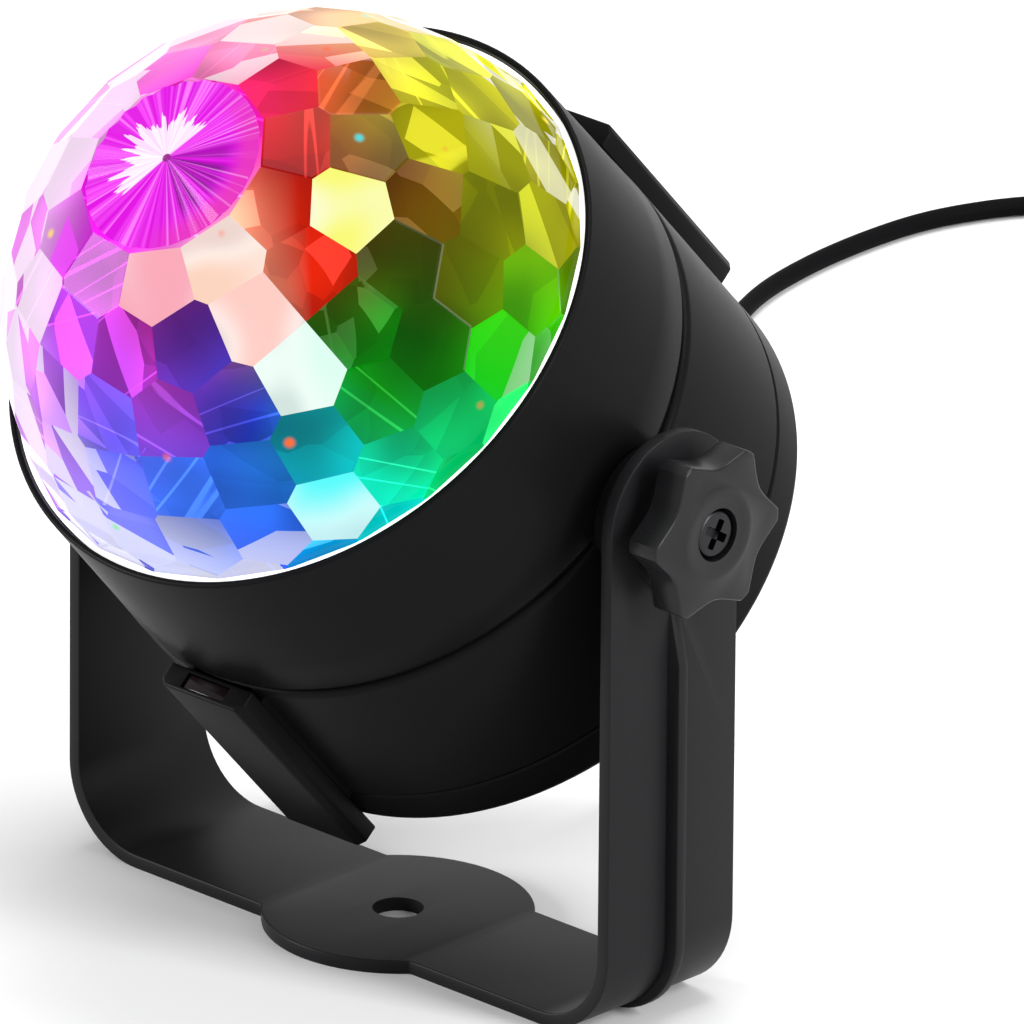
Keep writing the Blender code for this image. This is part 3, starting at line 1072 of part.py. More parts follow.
bore_radius = SCREW_RADIUS + SEAT_GAP
for side, turn in (("right", TO_RIGHT), ("left", TO_LEFT)):
    pivot = empty(f"pivot_{side}", turn, head_origin)
    bracket_pivot = empty(f"bracket_pivot_{side}", Matrix.Translation((0.0, 0.0, PIVOT_HEIGHT)) @ turn,
                          bracket_origin)
    insert = disc(INSERT_RADIUS, INSERT_END, BOSS_FACE - SEAT_GAP, SMALL_STEPS, bore=bore_radius)
    add(f"pivot_insert_{side}", insert, BRASS, pivot)
    washer_low = WASHER_FACE - FRICTION_WASHER_THICKNESS
    washer = disc(FRICTION_WASHER_RADIUS, washer_low, WASHER_FACE, 2 * SMALL_STEPS, bore=bore_radius)
    add(f"friction_washer_{side}", washer, BLACK_RUBBER, bracket_pivot)
    washer_high = KNOB_WASHER_FACE + KNOB_WASHER_THICKNESS
    washer = disc(KNOB_WASHER_RADIUS, KNOB_WASHER_FACE, washer_high, SMALL_STEPS, bore=bore_radius)
    add(f"knob_washer_{side}", washer, STEEL, pivot)
    knob = add(f"knob_{side}", knob_mesh(), BLACK_PLASTIC, pivot)
    hub = disc(KNOB_HUB_RADIUS, KNOB_BACK, KNOB_FRONT - KNOB_LOBE_THICKNESS / 2, SMALL_STEPS)
    boolean(knob, "UNION", tool(f"knob_hub_{side}", hub, pivot))
    ring = disc(KNOB_RING_RADIUS, KNOB_FRONT - KNOB_EDGE, KNOB_FRONT + KNOB_RING_HEIGHT, SMALL_STEPS,
                bore=KNOB_RING_RADIUS - KNOB_RING_WIDTH)
    boolean(knob, "UNION", tool(f"knob_ring_{side}", ring, pivot))
    recess = disc(KNOB_RECESS_RADIUS, KNOB_FRONT - KNOB_RECESS_DEPTH, KNOB_FRONT + CUT_OVERRUN, SMALL_STEPS)
    boolean(knob, "DIFFERENCE", tool(f"knob_recess_{side}", recess, pivot))
    bore = disc(bore_radius, KNOB_BACK - CUT_OVERRUN, KNOB_FRONT + CUT_OVERRUN, SMALL_STEPS)
    boolean(knob, "DIFFERENCE", tool(f"knob_bore_{side}", bore, pivot))
    screw = add(f"knob_screw_{side}", turned(screw_profile(), SMALL_STEPS), BLACK_STEEL, pivot)
    screw_top = KNOB_FRONT - KNOB_RECESS_DEPTH + SEAT_GAP + SCREW_HEAD_THICKNESS
    slot_turn = Matrix.Rotation(KNOB_FIRST_IN_HEAD, 4, "Z")
    for name, length, width in (("across", CROSS_LENGTH, CROSS_WIDTH), ("along", CROSS_WIDTH, CROSS_LENGTH)):
        low = (-length / 2, -width / 2, screw_top - CROSS_DEPTH)
        slot = block(low, (length / 2, width / 2, screw_top + CUT_OVERRUN))
        boolean(screw, "DIFFERENCE", tool(f"cross_{name}_{side}", slot, pivot, slot_turn))


# Wires and cord: smooth curves through chosen points
def smooth_route(points, spacing):
    """Evenly spaced places on a smooth curve through the route's points."""
    knots = [2 * points[0] - points[1], *points, 2 * points[-1] - points[-2]]
    fine = []
    for p0, p1, p2, p3 in zip(knots, knots[1:], knots[2:], knots[3:]):
        for i in range(ARC_STEPS * 2):
            t = i / (ARC_STEPS * 2)
            fine.append(0.5 * (2 * p1 + (p2 - p0) * t + (2 * p0 - 5 * p1 + 4 * p2 - p3) * t**2
                               + (3 * p1 - p0 - 3 * p2 + p3) * t**3))
    fine.append(points[-1])
    lengths = np.cumsum([0.0] + [(b - a).length for a, b in zip(fine, fine[1:])])
    count = max(2, round(lengths[-1] / spacing))
    wanted = np.linspace(0.0, lengths[-1], count + 1)
    columns = [np.interp(wanted, lengths, [place[axis] for place in fine]) for axis in range(3)]
    return [Vector(place) for place in zip(*columns)]


def tube(name, points, radius, resolution, look, parent):
    """A round tube with closed ends along a list of points."""
    curve = bpy.data.curves.new(name, "CURVE")
    curve.dimensions = "3D"
    curve.bevel_depth = radius
    curve.bevel_resolution = resolution
    curve.use_fill_caps = True
    spline = curve.splines.new("POLY")
    spline.points.add(len(points) - 1)
    for point, place in zip(spline.points, points):
        point.co = (*place, 1.0)
    curve.materials.append(look)
    made = bpy.data.objects.new(name, curve)
    bpy.context.collection.objects.link(made)
    made.parent = parent
    return made


inner_low = CAP_INSIDE + RELIEF_FLANGE + 3 * SEAT_GAP
inner_high = BOARD_REAR - SEAT_GAP
inner_cord = [
    Vector((0.0, 0.0, inner_low)),
    Vector((0.0, 0.0, inner_low + CORD_RADIUS * 2)),
    Vector((0.0, INNER_CORD_SIDE / 2, (inner_low + inner_high) / 2)),
    Vector((0.0, INNER_CORD_SIDE, inner_high - CORD_RADIUS * 2)),
    Vector((0.0, INNER_CORD_SIDE, inner_high)),
]
tube("cord_inner", smooth_route(inner_cord, CORD_RADIUS * 2), CORD_RADIUS, 2, BLACK_RUBBER, head_origin)
motor_wire_top = MOTOR_REAR - SEAT_GAP
motor_wire = [
    Vector((GEAR_DISTANCE, -MOTOR_WIRE_SIDE, ON_BOARD)),
    Vector((GEAR_DISTANCE, -MOTOR_WIRE_SIDE, (2 * ON_BOARD + motor_wire_top) / 3)),
    Vector((GEAR_DISTANCE, -MOTOR_WIRE_SIDE / 2, (ON_BOARD + 2 * motor_wire_top) / 3)),
    Vector((GEAR_DISTANCE, -MOTOR_WIRE_SIDE / 2, motor_wire_top)),
]
tube("motor_wires", smooth_route(motor_wire, WIRE_RADIUS * 3), WIRE_RADIUS, 2, BLACK_RUBBER, head_origin)
light_wire = [
    Vector((0.0, -WIRE_SLOT_PLACE, ON_BOARD)),
    Vector((0.0, -WIRE_SLOT_PLACE, (ON_BOARD + DECK_REAR) / 2)),
    Vector((0.0, -WIRE_SLOT_PLACE, DECK_FRONT)),
    Vector((0.0, -(WIRE_SLOT_PLACE + LIGHT_WIRE_END) / 2, DECK_FRONT + WIRE_RISE)),
    Vector((0.0, -LIGHT_WIRE_END, LIGHT_BOARD_FRONT + WIRE_RISE / 2)),
    Vector((0.0, -LIGHT_WIRE_END, LIGHT_BOARD_FRONT + SEAT_GAP)),
]
tube("light_wires", smooth_route(light_wire, WIRE_RADIUS * 4), WIRE_RADIUS, 1, BLACK_RUBBER, head_origin)
wire_slot = disc(WIRE_RADIUS * 2, DECK_REAR - CUT_OVERRUN, DECK_FRONT + CUT_OVERRUN, TINY_STEPS,
                 (0.0, -WIRE_SLOT_PLACE))
boolean(deck, "DIFFERENCE", tool("wire_slot", wire_slot, head_origin))

# Free cord: out of the strain relief, down to the surface and away behind, then the coil and the plug
CORD_FLOOR = CORD_RADIUS + FLOOR_CLEARANCE
RELIEF_END = Vector((0.0, BASE_Y, PIVOT_HEIGHT)) + DOME_AXIS * RELIEF_TIP
CORD_START = RELIEF_END - DOME_AXIS * SEAT_GAP
CORD_DIAMETER = 2 * CORD_RADIUS
COIL_TANGENT = Vector((math.sin(COIL_START_TURN), -math.cos(COIL_START_TURN), 0.0))
coil_middle = Vector((*COIL_CENTRE, CORD_FLOOR))
coil_entry = coil_middle + Vector((*on_circle(COIL_OUTER_RADIUS, COIL_START_TURN), 0.0))
coil_first = coil_entry - COIL_TANGENT * CORD_DIAMETER


def coil_points():
    """One unbroken line: in along the lower layer, up in the half turn at the middle, out along the upper."""
    count = round(COIL_TURNS * COIL_POINTS_PER_TURN)
    half = COIL_TURNS / 2
    places = [coil_first]
    for i in range(count + 1):
        turns = COIL_TURNS * i / count
        from_middle = turns - half
        away = math.sqrt(from_middle**2 + CLIMB_TURNS_SHARE**2) - CLIMB_TURNS_SHARE
        most = math.sqrt(half**2 + CLIMB_TURNS_SHARE**2) - CLIMB_TURNS_SHARE
        radius = COIL_OUTER_RADIUS - COIL_PITCH * (most - away)
        climb = min(1.0, max(0.0, from_middle / 0.5 + 0.5))
        lift = COIL_PITCH * climb * climb * (3 - 2 * climb)
        x, y = on_circle(radius, COIL_START_TURN - math.tau * turns)
        places.append(coil_middle + Vector((x, y, lift)))
    last = places[-1] - places[-2]
    end_turn = COIL_START_TURN - math.tau * COIL_TURNS
    leave = Vector((math.sin(end_turn), -math.cos(end_turn), 0.0))
    places.append(places[-1] + leave * max(CORD_DIAMETER, last.length / 2))
    return places, leave


coil, leave = coil_points()
route = [CORD_START, CORD_START - DOME_AXIS * 2 * CORD_DIAMETER]
route += [Vector(place) for place in CORD_ROUTE]
route += [coil_first - COIL_TANGENT * (CORD_DIAMETER + SEAT_GAP), coil_first - COIL_TANGENT * SEAT_GAP]
lead = smooth_route(route, CORD_POINT_SPACING)
tube("cord_lead", lead, CORD_RADIUS, 2, BLACK_RUBBER, row_origin)
tube("cord_coil", coil, CORD_RADIUS, 1, BLACK_RUBBER, row_origin)
PLUG_HEIGHT = PLUG_BODY_SIZE[2] / 2 + FLOOR_CLEARANCE
tail_start = coil[-1] + leave * SEAT_GAP
tail_end = tail_start + leave * TAIL_LENGTH
tail_end.z = PLUG_HEIGHT
tail = smooth_route(
    [tail_start, tail_start + leave * CORD_DIAMETER, tail_end - leave * CORD_DIAMETER, tail_end],
    CORD_DIAMETER,
)
tube("cord_tail", tail, CORD_RADIUS, 2, BLACK_RUBBER, row_origin)


def line_length(places):
    """Length along a list of places."""
    return sum((b - a).length for a, b in zip(places, places[1:]))


def coil_self_gap(places):
    """The least space between the coil's own turns, outside to outside."""
    cloud = np.array(places)
    least = math.inf
    apart = COIL_POINTS_PER_TURN // 2
    for i in range(len(cloud) - 1):
        a, b = cloud[i], cloud[i + 1]
        others = cloud[i + apart:]
        if len(others) == 0:
            break
        t = np.clip(((others - a) @ (b - a)) / ((b - a) @ (b - a)), 0.0, 1.0)
        least = min(least, np.linalg.norm(others - (a + t[:, None] * (b - a)), axis=1).min())
    return least - CORD_DIAMETER


print(f"cord: lead {line_length(lead):.3f} m, coil {line_length(coil):.3f} m, tail {line_length(tail):.3f} m")
print(f"coil: least gap to itself {coil_self_gap(coil) * 1000:.2f} mm")

# Plug: a moulded body, a folded metal shell and the tongue inside it
plug_turn = Matrix.Rotation(math.atan2(leave.y, leave.x), 4, "Z")
plug_frame = empty("plug_frame", Matrix.Translation(tail_end) @ plug_turn, row_origin)
length, width, height = PLUG_BODY_SIZE
moulding = block((SEAT_GAP, -width / 2, -height / 2), (length, width / 2, height / 2))
plug_body = add("plug_body", moulding, BLACK_RUBBER, plug_frame)
round_edges(plug_body, PLUG_BODY_ROUND, 2)
shell_length, shell_width, shell_height = PLUG_SHELL_SIZE
shell_root = length - PLUG_SOCKET_DEPTH
socket = block((shell_root, -shell_width / 2 - SEAT_GAP, -shell_height / 2 - SEAT_GAP),
               (length + CUT_OVERRUN, shell_width / 2 + SEAT_GAP, shell_height / 2 + SEAT_GAP))
boolean(plug_body, "DIFFERENCE", tool("plug_socket", socket, plug_frame))
shell_start = shell_root + SEAT_GAP
plug_shell = add("plug_shell", block((shell_start, -shell_width / 2, -shell_height / 2),
                                     (shell_start + shell_length, shell_width / 2, shell_height / 2)), STEEL,
                 plug_frame, smooth=False)
inside_width = shell_width / 2 - PLUG_SHELL_WALL
inside_height = shell_height / 2 - PLUG_SHELL_WALL
hollow = block((shell_start - CUT_OVERRUN, -inside_width, -inside_height),
               (shell_start + shell_length + CUT_OVERRUN, inside_width, inside_height))
boolean(plug_shell, "DIFFERENCE", tool("plug_hollow", hollow, plug_frame))
tongue_low = SEAT_GAP - inside_height
tongue = block((shell_start, SEAT_GAP - inside_width, tongue_low),
               (shell_start + shell_length - PLUG_TONGUE_BACK, inside_width - SEAT_GAP,
                tongue_low + PLUG_TONGUE_THICKNESS))
add("plug_tongue", tongue, WHITE_PLASTIC, plug_frame, smooth=False)
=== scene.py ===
"""The LED disco ball light as it looks: a lit faceted dome in a satin black housing, on its bracket."""
import json
import math
import random

import bmesh
import bpy
from mathutils import Matrix, Vector


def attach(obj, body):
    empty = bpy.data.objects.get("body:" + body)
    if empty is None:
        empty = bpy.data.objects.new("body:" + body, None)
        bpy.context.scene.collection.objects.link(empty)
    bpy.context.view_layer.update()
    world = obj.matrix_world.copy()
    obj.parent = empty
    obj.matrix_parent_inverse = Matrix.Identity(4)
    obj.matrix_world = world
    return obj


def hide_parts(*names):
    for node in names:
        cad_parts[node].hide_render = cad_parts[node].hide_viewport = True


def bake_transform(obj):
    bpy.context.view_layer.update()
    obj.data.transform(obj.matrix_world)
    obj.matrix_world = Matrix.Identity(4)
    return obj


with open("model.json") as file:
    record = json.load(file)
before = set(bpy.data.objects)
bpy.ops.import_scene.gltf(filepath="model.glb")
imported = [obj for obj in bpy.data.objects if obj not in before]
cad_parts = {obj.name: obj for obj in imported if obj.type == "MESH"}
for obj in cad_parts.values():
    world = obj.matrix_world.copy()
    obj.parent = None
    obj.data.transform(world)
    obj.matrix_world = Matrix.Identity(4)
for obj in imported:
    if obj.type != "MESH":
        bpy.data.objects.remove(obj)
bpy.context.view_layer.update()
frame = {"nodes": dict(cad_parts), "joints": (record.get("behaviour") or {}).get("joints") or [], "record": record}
joint = {entry["name"]: entry for entry in frame["joints"]}
pivot = Vector(joint["head_tilt"]["pos_m"])
dome_axis = Vector(joint["dome_spin"]["axis"]).normalized()

# Camera: a long lens above the table and to the right of the light's front.
# It sees the right knob, the dome's crown and the pad in one frame.
camera_side = math.radians(43.81)
camera_rise = math.radians(21.93)
camera_roll = math.radians(0.47)
camera_distance = 3.3084
camera_lens = 843.75
camera_aim = Vector((0.0, pivot.y, 0.050))
camera_offset = (0.01542, 0.01027)

backwards = Vector((math.sin(camera_side) * math.cos(camera_rise),
                    -math.cos(camera_side) * math.cos(camera_rise), math.sin(camera_rise)))
level = Vector((math.cos(camera_side), math.sin(camera_side), 0.0))
upright = backwards.cross(level)
camera_right = level * math.cos(camera_roll) + upright * math.sin(camera_roll)
camera_up = upright * math.cos(camera_roll) - level * math.sin(camera_roll)
camera_place = camera_aim + camera_right * camera_offset[0] + camera_up * camera_offset[1]
camera_place += backwards * camera_distance
bpy.ops.object.select_all(action="DESELECT")
bpy.ops.object.camera_add(location=camera_place)
camera = bpy.context.object
camera.matrix_world = (Matrix.Translation(camera_place)
                       @ Matrix((camera_right, camera_up, backwards)).transposed().to_4x4())
camera.data.lens = camera_lens
camera.data.sensor_fit = "HORIZONTAL"
camera.data.clip_end = 20.0
bpy.context.scene.camera = camera

# Cord: a thin low-voltage lead in soft black vinyl, moulded into the strain relief at one end and the
# plug at the other. It drops to the table, runs away behind and lies wound up next to its plug.
cord_radius = 0.0014
cord_diameter = 2 * cord_radius
meeting_gap = 0.0003
cord_height = cord_radius + 0.0001
relief_tip = 0.0428
cord_route = (
    (-0.0010, 0.0430, 0.0270),
    (-0.0050, 0.0540, 0.0150),
    (-0.0120, 0.0665, 0.0062),
    (-0.0220, 0.0790, 0.0022),
    (-0.0350, 0.0930, 0.0015),
    (-0.0520, 0.1100, 0.0015),
    (-0.0720, 0.1310, 0.0015),
    (-0.0930, 0.1560, 0.0015),
    (-0.1110, 0.1810, 0.0015),
    (-0.1235, 0.2015, 0.0015),
    (-0.1285, 0.2200, 0.0015),
    (-0.1293, 0.2400, 0.0015),
    (-0.1262, 0.2535, 0.0015),
    (-0.1195, 0.2645, 0.0015),
)
coil_middle = Vector((-0.0875, 0.2618, cord_height))
coil_radius = 0.0222
coil_pitch = 0.0034
coil_turns = 9.25
coil_climb = 0.12
coil_step = 0.5
coil_start = math.radians(127.0)
coil_points_per_turn = 40
tail_length = 0.0140
plug_height = 0.0041


def smooth_line(points, spacing):
    """Close points on a smooth curve through the given ones."""
    knots = [2 * points[0] - points[1], *points, 2 * points[-1] - points[-2]]
    line = []
    for p0, p1, p2, p3 in zip(knots, knots[1:], knots[2:], knots[3:]):
        steps = max(2, round((p2 - p1).length / spacing))
        for i in range(steps):
            t = i / steps
            line.append(0.5 * (2 * p1 + (p2 - p0) * t + (2 * p0 - 5 * p1 + 4 * p2 - p3) * t**2
                               + (3 * p1 - p0 - 3 * p2 + p3) * t**3))
    return line + [points[-1]]


def coil_line():
    """The coil's turns: in along the lower layer, up at the middle and out along the upper layer."""
    half = coil_turns / 2
    widest = math.sqrt(half**2 + coil_climb**2) - coil_climb
    count = round(coil_turns * coil_points_per_turn)
    line = []
    for i in range(count + 1):
        turns = coil_turns * i / count
        away = math.sqrt((turns - half) ** 2 + coil_climb**2) - coil_climb
        radius = coil_radius - coil_pitch * (widest - away)
        climb = min(1.0, max(0.0, (turns - half) / coil_step + 0.5))
        lift = coil_pitch * climb * climb * (3 - 2 * climb)
        angle = coil_start - math.tau * turns
        line.append(coil_middle + Vector((radius * math.cos(angle), radius * math.sin(angle), lift)))
    return line


cord_exit = pivot - dome_axis * (relief_tip + meeting_gap)
coil = coil_line()
coil_entry = Vector((math.sin(coil_start), -math.cos(coil_start), 0.0))
coil_end = coil_start - math.tau * coil_turns
coil_leave = Vector((math.sin(coil_end), -math.cos(coil_end), 0.0))
lead_end = coil[0] - coil_entry * cord_diameter
lead = [cord_exit, cord_exit - dome_axis * 2 * cord_diameter]
lead += [Vector(place) for place in cord_route]
lead += [lead_end - coil_entry * (cord_diameter + meeting_gap), lead_end - coil_entry * meeting_gap]
tail_start = coil[-1] + coil_leave * (cord_diameter + meeting_gap)
plug_end = tail_start + coil_leave * tail_length
plug_end.z = plug_height
tail = [tail_start, tail_start + coil_leave * cord_diameter, plug_end - coil_leave * cord_diameter, plug_end]
cord_line = smooth_line(lead, 0.0020) + coil + smooth_line(tail, 0.0015)


def pick(piece):
    """Selects one piece alone, so that the next operator acts on nothing else."""
    bpy.ops.object.select_all(action="DESELECT")
    piece.select_set(True)
    bpy.context.view_layer.objects.active = piece


def put_in(name, data):
    """A new object in the scene, picked."""
    piece = bpy.data.objects.new(name, data)
    bpy.context.collection.objects.link(piece)
    pick(piece)
    return piece


cord_curve = bpy.data.curves.new("cord", "CURVE")
cord_curve.dimensions = "3D"
cord_curve.bevel_depth = cord_radius
cord_curve.bevel_resolution = 4
cord_curve.use_fill_caps = True
spline = cord_curve.splines.new("POLY")
spline.points.add(len(cord_line) - 1)
for point, place in zip(spline.points, cord_line):
    point.co = (*place, 1.0)
put_in("cord", cord_curve)
bpy.ops.object.convert(target="MESH")
cord = bpy.context.object
cord.data.shade_smooth()


class Finish:
    """The nodes of one material or of the world, laid step by step."""

    def __init__(self, owner):
        owner.use_nodes = True
        self.owner = owner
        self.tree = owner.node_tree

    def join(self, socket, value):
        """Links a socket to the output that it is given, or sets its value."""
        if isinstance(value, bpy.types.NodeSocket):
            self.tree.links.new(value, socket)
        else:
            socket.default_value = value

    def fill(self, target, **values):
        """Joins a node's inputs by name, with _ for a space, and gives the owner."""
        for name, value in values.items():
            self.join(target.inputs[name.replace("_", " ")], value)
        return self.owner

    def shade(self, **values):
        """Joins the inputs of the surface shader by name, and gives the material."""
        return self.fill(self.tree.nodes["Principled BSDF"], **values)

    def node(self, kind, out=None, **values):
        """Adds a node, small names being its settings and capital ones its inputs. Gives its output."""
        step = self.tree.nodes.new("ShaderNode" + kind)
        for name, value in values.items():
            if name.islower():
                setattr(step, name, value)
            else:
                self.fill(step, **{name: value})
        return step.outputs[out] if out else step.outputs

    def sum_up(self, kind, out, operation, values):
        """Adds a Math or Vector Math node, its inputs joined in order."""
        step = self.tree.nodes.new("ShaderNode" + kind)
        step.operation = operation
        for socket, value in zip(step.inputs, values):
            self.join(socket, value)
        return step.outputs[out]

    def number(self, operation, *values):
        return self.sum_up("Math", "Value", operation, values)

    def vector(self, operation, *values):
        out = "Value" if operation in ("DOT_PRODUCT", "LENGTH") else "Vector"
        return self.sum_up("VectorMath", out, operation, values)

    def scaled(self, vector, factor):
        return self.node("VectorMath", "Vector", operation="SCALE", Vector=vector, Scale=factor)

    def place(self):
        return self.node("TexCoord", "Object")

    def noise(self, vector, scale, detail=2.0, distortion=0.0):
        return self.node("TexNoise", "Fac", Vector=vector, Scale=scale, Detail=detail, Distortion=distortion)

    def spread(self, value, low, high, to_low=0.0, to_high=1.0):
        """A smooth step between two levels of a value."""
        return self.node("MapRange", "Result", interpolation_type="SMOOTHSTEP", Value=value,
                         From_Min=low, From_Max=high, To_Min=to_low, To_Max=to_high)

    def mixed(self, factor, first, second, kind="MIX"):
        return self.node("Mix", "Result", data_type="RGBA", blend_type=kind, Factor=factor, A=first, B=second)

    def dress(self, colour, shares, roughness, sway, marks, bumps, strength, depth, **rest):
        """Colour and gloss that vary with the marks, over a relief of fine bumps."""
        darker, lighter = [(*[channel * share for channel in colour], 1.0) for share in shares]
        gloss = self.node("MapRange", "Result", Value=marks, To_Min=roughness * (1 - sway),
                          To_Max=roughness * (1 + sway))
        relief = self.node("Bump", "Normal", Strength=strength, Distance=depth, Height=bumps)
        return self.shade(Base_Color=self.mixed(marks, darker, lighter), Roughness=gloss, Normal=relief, **rest)


def plastic(name, colour, roughness, grain=2600.0, depth=0.00003, specular=0.5, uneven=0.12):
    """A moulded surface: a fine spark-eroded grain, and gloss and colour that vary a little."""
    look = Finish(bpy.data.materials.new(name))
    fine = look.noise(look.place(), grain, detail=3.0)
    broad = look.noise(look.place(), 55.0, detail=4.0)
    return look.dress(colour, (1 - uneven, 1 + uneven), roughness, uneven, broad, fine, 0.35, depth,
                      Specular_IOR_Level=specular)


vinyl = plastic("black_vinyl", (0.0045, 0.0045, 0.0050), 0.55, grain=1500.0, depth=0.00002, specular=0.02)
cord.data.materials.clear()
cord.data.materials.append(vinyl)
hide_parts("cord_lead", "cord_coil", "cord_tail")
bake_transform(cord)

# Strain relief: one soft vinyl moulding, snapped into the rear cap with its flange inside.
# Its collar sits against the cap, and its taper is cut by grooves so that it bends with the cord.
head_tip = math.asin(dome_axis.z)
head_place = Matrix.Translation(pivot) @ Matrix.Rotation(math.pi / 2 - head_tip, 4, "X")
cap_rear = -0.0318
cap_inside = -0.0296
relief_flange = 0.0012
relief_wide = 0.0038
relief_neck = 0.0028
relief_thin = 0.0022
relief_ribs = 4
# One rib and groove: how far along it, and its share of the taper's radius
relief_rib = ((0.0, 1.0), (0.08, 1.05), (0.45, 1.03), (0.54, 0.86), (0.92, 0.84))
relief_nose = (0.0006, 0.0003)
merge_reach = 0.000002
smooth_angle = math.radians(32.0)


def first_vertex(name, place):
    """A plane merged to one vertex at a place, left in edit mode."""
    bpy.ops.object.select_all(action="DESELECT")
    bpy.ops.mesh.primitive_plane_add(size=0.001)
    piece = bpy.context.object
    piece.name = name
    piece.data.name = name
    bpy.ops.object.mode_set(mode="EDIT")
    bpy.ops.mesh.select_all(action="SELECT")
    bpy.ops.mesh.merge(type="CENTER")
    bpy.ops.transform.translate(value=place)
    return piece


def draw_to(before, after):
    """Extrudes what is selected by the step between two places."""
    step = tuple(b - a for a, b in zip(before, after))
    bpy.ops.mesh.extrude_region_move(TRANSFORM_OT_translate={"value": step})


def draw_outline(name, places):
    """A closed line, drawn out vertex by vertex and left selected in edit mode."""
    piece = first_vertex(name, places[0])
    for before, after in zip(places, places[1:] + places[:1]):
        draw_to(before, after)
    bpy.ops.mesh.select_all(action="SELECT")
    bpy.ops.mesh.remove_doubles(threshold=merge_reach)
    bpy.ops.mesh.select_all(action="SELECT")
    return piece


def face_outwards():
    """Turns the edited mesh's faces outwards and leaves edit mode."""
    bpy.ops.mesh.select_all(action="SELECT")
    bpy.ops.mesh.normals_make_consistent(inside=False)
    bpy.ops.object.mode_set(mode="OBJECT")


def seat(piece, place):
    """Puts a finished shape where it belongs, with its place in its mesh, and shades its rounds."""
    pick(piece)
    piece.matrix_world = place @ piece.matrix_world
    bpy.ops.object.transform_apply(location=True, rotation=True, scale=True)
    bpy.ops.object.shade_smooth_by_angle(angle=smooth_angle)


def spin_outline(name, outline, place=Matrix(), steps=96):
    """A closed outline of radius and height, spun about the axis."""
    piece = draw_outline(name, [(radius, 0.0, height) for radius, height in outline])
    bpy.ops.mesh.spin(steps=steps, angle=math.tau, center=(0.0, 0.0, 0.0), axis=(0.0, 0.0, 1.0))
    bpy.ops.mesh.select_all(action="SELECT")
    bpy.ops.mesh.remove_doubles(threshold=merge_reach)
    face_outwards()
    seat(piece, place)
    return piece


def fit(piece, material, slot, body, *nodes):
    """Gives a piece its finish, hangs it on the body it moves with and hides the nodes that it stands for."""
    piece.data.materials.append(material)
    if nodes:
        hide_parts(*nodes)
    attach(piece, body)


relief_start = cap_rear - meeting_gap - relief_flange
relief_outline = [
    (0.0, cap_inside + meeting_gap + relief_flange),
    (relief_wide, cap_inside + meeting_gap + relief_flange),
    (relief_wide, cap_inside + meeting_gap),
    (relief_neck, cap_inside + meeting_gap),
    (relief_neck, cap_rear - meeting_gap),
    (relief_wide, cap_rear - meeting_gap),
    (relief_wide, relief_start),
]
for rib in range(relief_ribs):
    for step, sink in relief_rib:
        along = (rib + step) / relief_ribs
        radius = relief_neck + (relief_thin - relief_neck) * along
        relief_outline.append((radius * sink, relief_start + (-relief_tip - relief_start) * along))
relief_outline += [(relief_thin, relief_nose[0] - relief_tip), (relief_thin - relief_nose[1], -relief_tip),
                   (0.0, -relief_tip)]
strain_relief = spin_outline("strain_relief_moulding", relief_outline, head_place, steps=48)
fit(strain_relief, vinyl, "black_rubber", "head", "strain_relief")

# Plug: a black vinyl grip moulded over a folded tin-plated shell, with a white tongue and four
# contacts inside. The grip has ribs on both sides, and the shell two square catches.
plug_place = (Matrix.Translation(plug_end)
              @ Matrix.Rotation(math.atan2(coil_leave.y, coil_leave.x), 4, "Z"))
grip_size = (0.0240, 0.0158, 0.0080)
grip_groove_start = 0.0055
grip_groove_pitch = 0.0024
grip_groove_size = (0.0011, 0.0005, 0.0026)
grip_mouth = 0.0060
grip_mouth_room = 0.0003
shell_size = (0.0185, 0.0120, 0.0045)
shell_wall = 0.0004
shell_start = grip_size[0] - grip_mouth + meeting_gap
shell_end = shell_start + shell_size[0]
catch_middle = 0.0030
catch_size = (0.0022, 0.0012, 0.0040)
catch_start = shell_end - 0.0075
tongue_thickness = 0.0018
tongue_short = 0.0010
contact_pitch = 0.0023
contact_size = (0.0005, 0.00025, 0.00005)
contact_reach = (shell_start + 0.0062, shell_end - 0.0020)
contact_groove_size = (0.0006, 0.0003)
contact_groove_reach = (shell_start + 0.0060, shell_end - 0.0018)
clear_cut = 0.001


def box_between(name, low, high):
    """A cube primitive stretched between two corners, its scale applied."""
    bpy.ops.object.select_all(action="DESELECT")
    middle = [(a + b) / 2 for a, b in zip(low, high)]
    bpy.ops.mesh.primitive_cube_add(size=1.0, location=middle)
    piece = bpy.context.object
    piece.name = name
    piece.data.name = name
    piece.scale = [b - a for a, b in zip(low, high)]
    bpy.ops.object.transform_apply(location=True, rotation=True, scale=True)
    return piece


def bar_along(name, start, end, width, height):
    """A box along X, centred on it."""
    return box_between(name, (start, -width / 2, -height / 2), (end, width / 2, height / 2))


def round_off(piece, width, segments, angle=40.0):
    """Bevels a piece's sharp edges for good."""
    pick(piece)
    bevel = piece.modifiers.new("round_off", "BEVEL")
    bevel.width = width
    bevel.segments = segments
    bevel.limit_method = "ANGLE"
    bevel.angle_limit = math.radians(angle)
    bpy.ops.object.modifier_apply(modifier=bevel.name)


def carve(piece, cutter, operation="DIFFERENCE"):
    """Cuts a shape out of a piece, or joins it on, and throws the shape away."""
    pick(piece)
    step = piece.modifiers.new("carve", "BOOLEAN")
    step.operation = operation
    step.solver = "EXACT"
    step.object = cutter
    bpy.ops.object.modifier_apply(modifier=step.name)
    bpy.data.objects.remove(cutter, do_unlink=True)


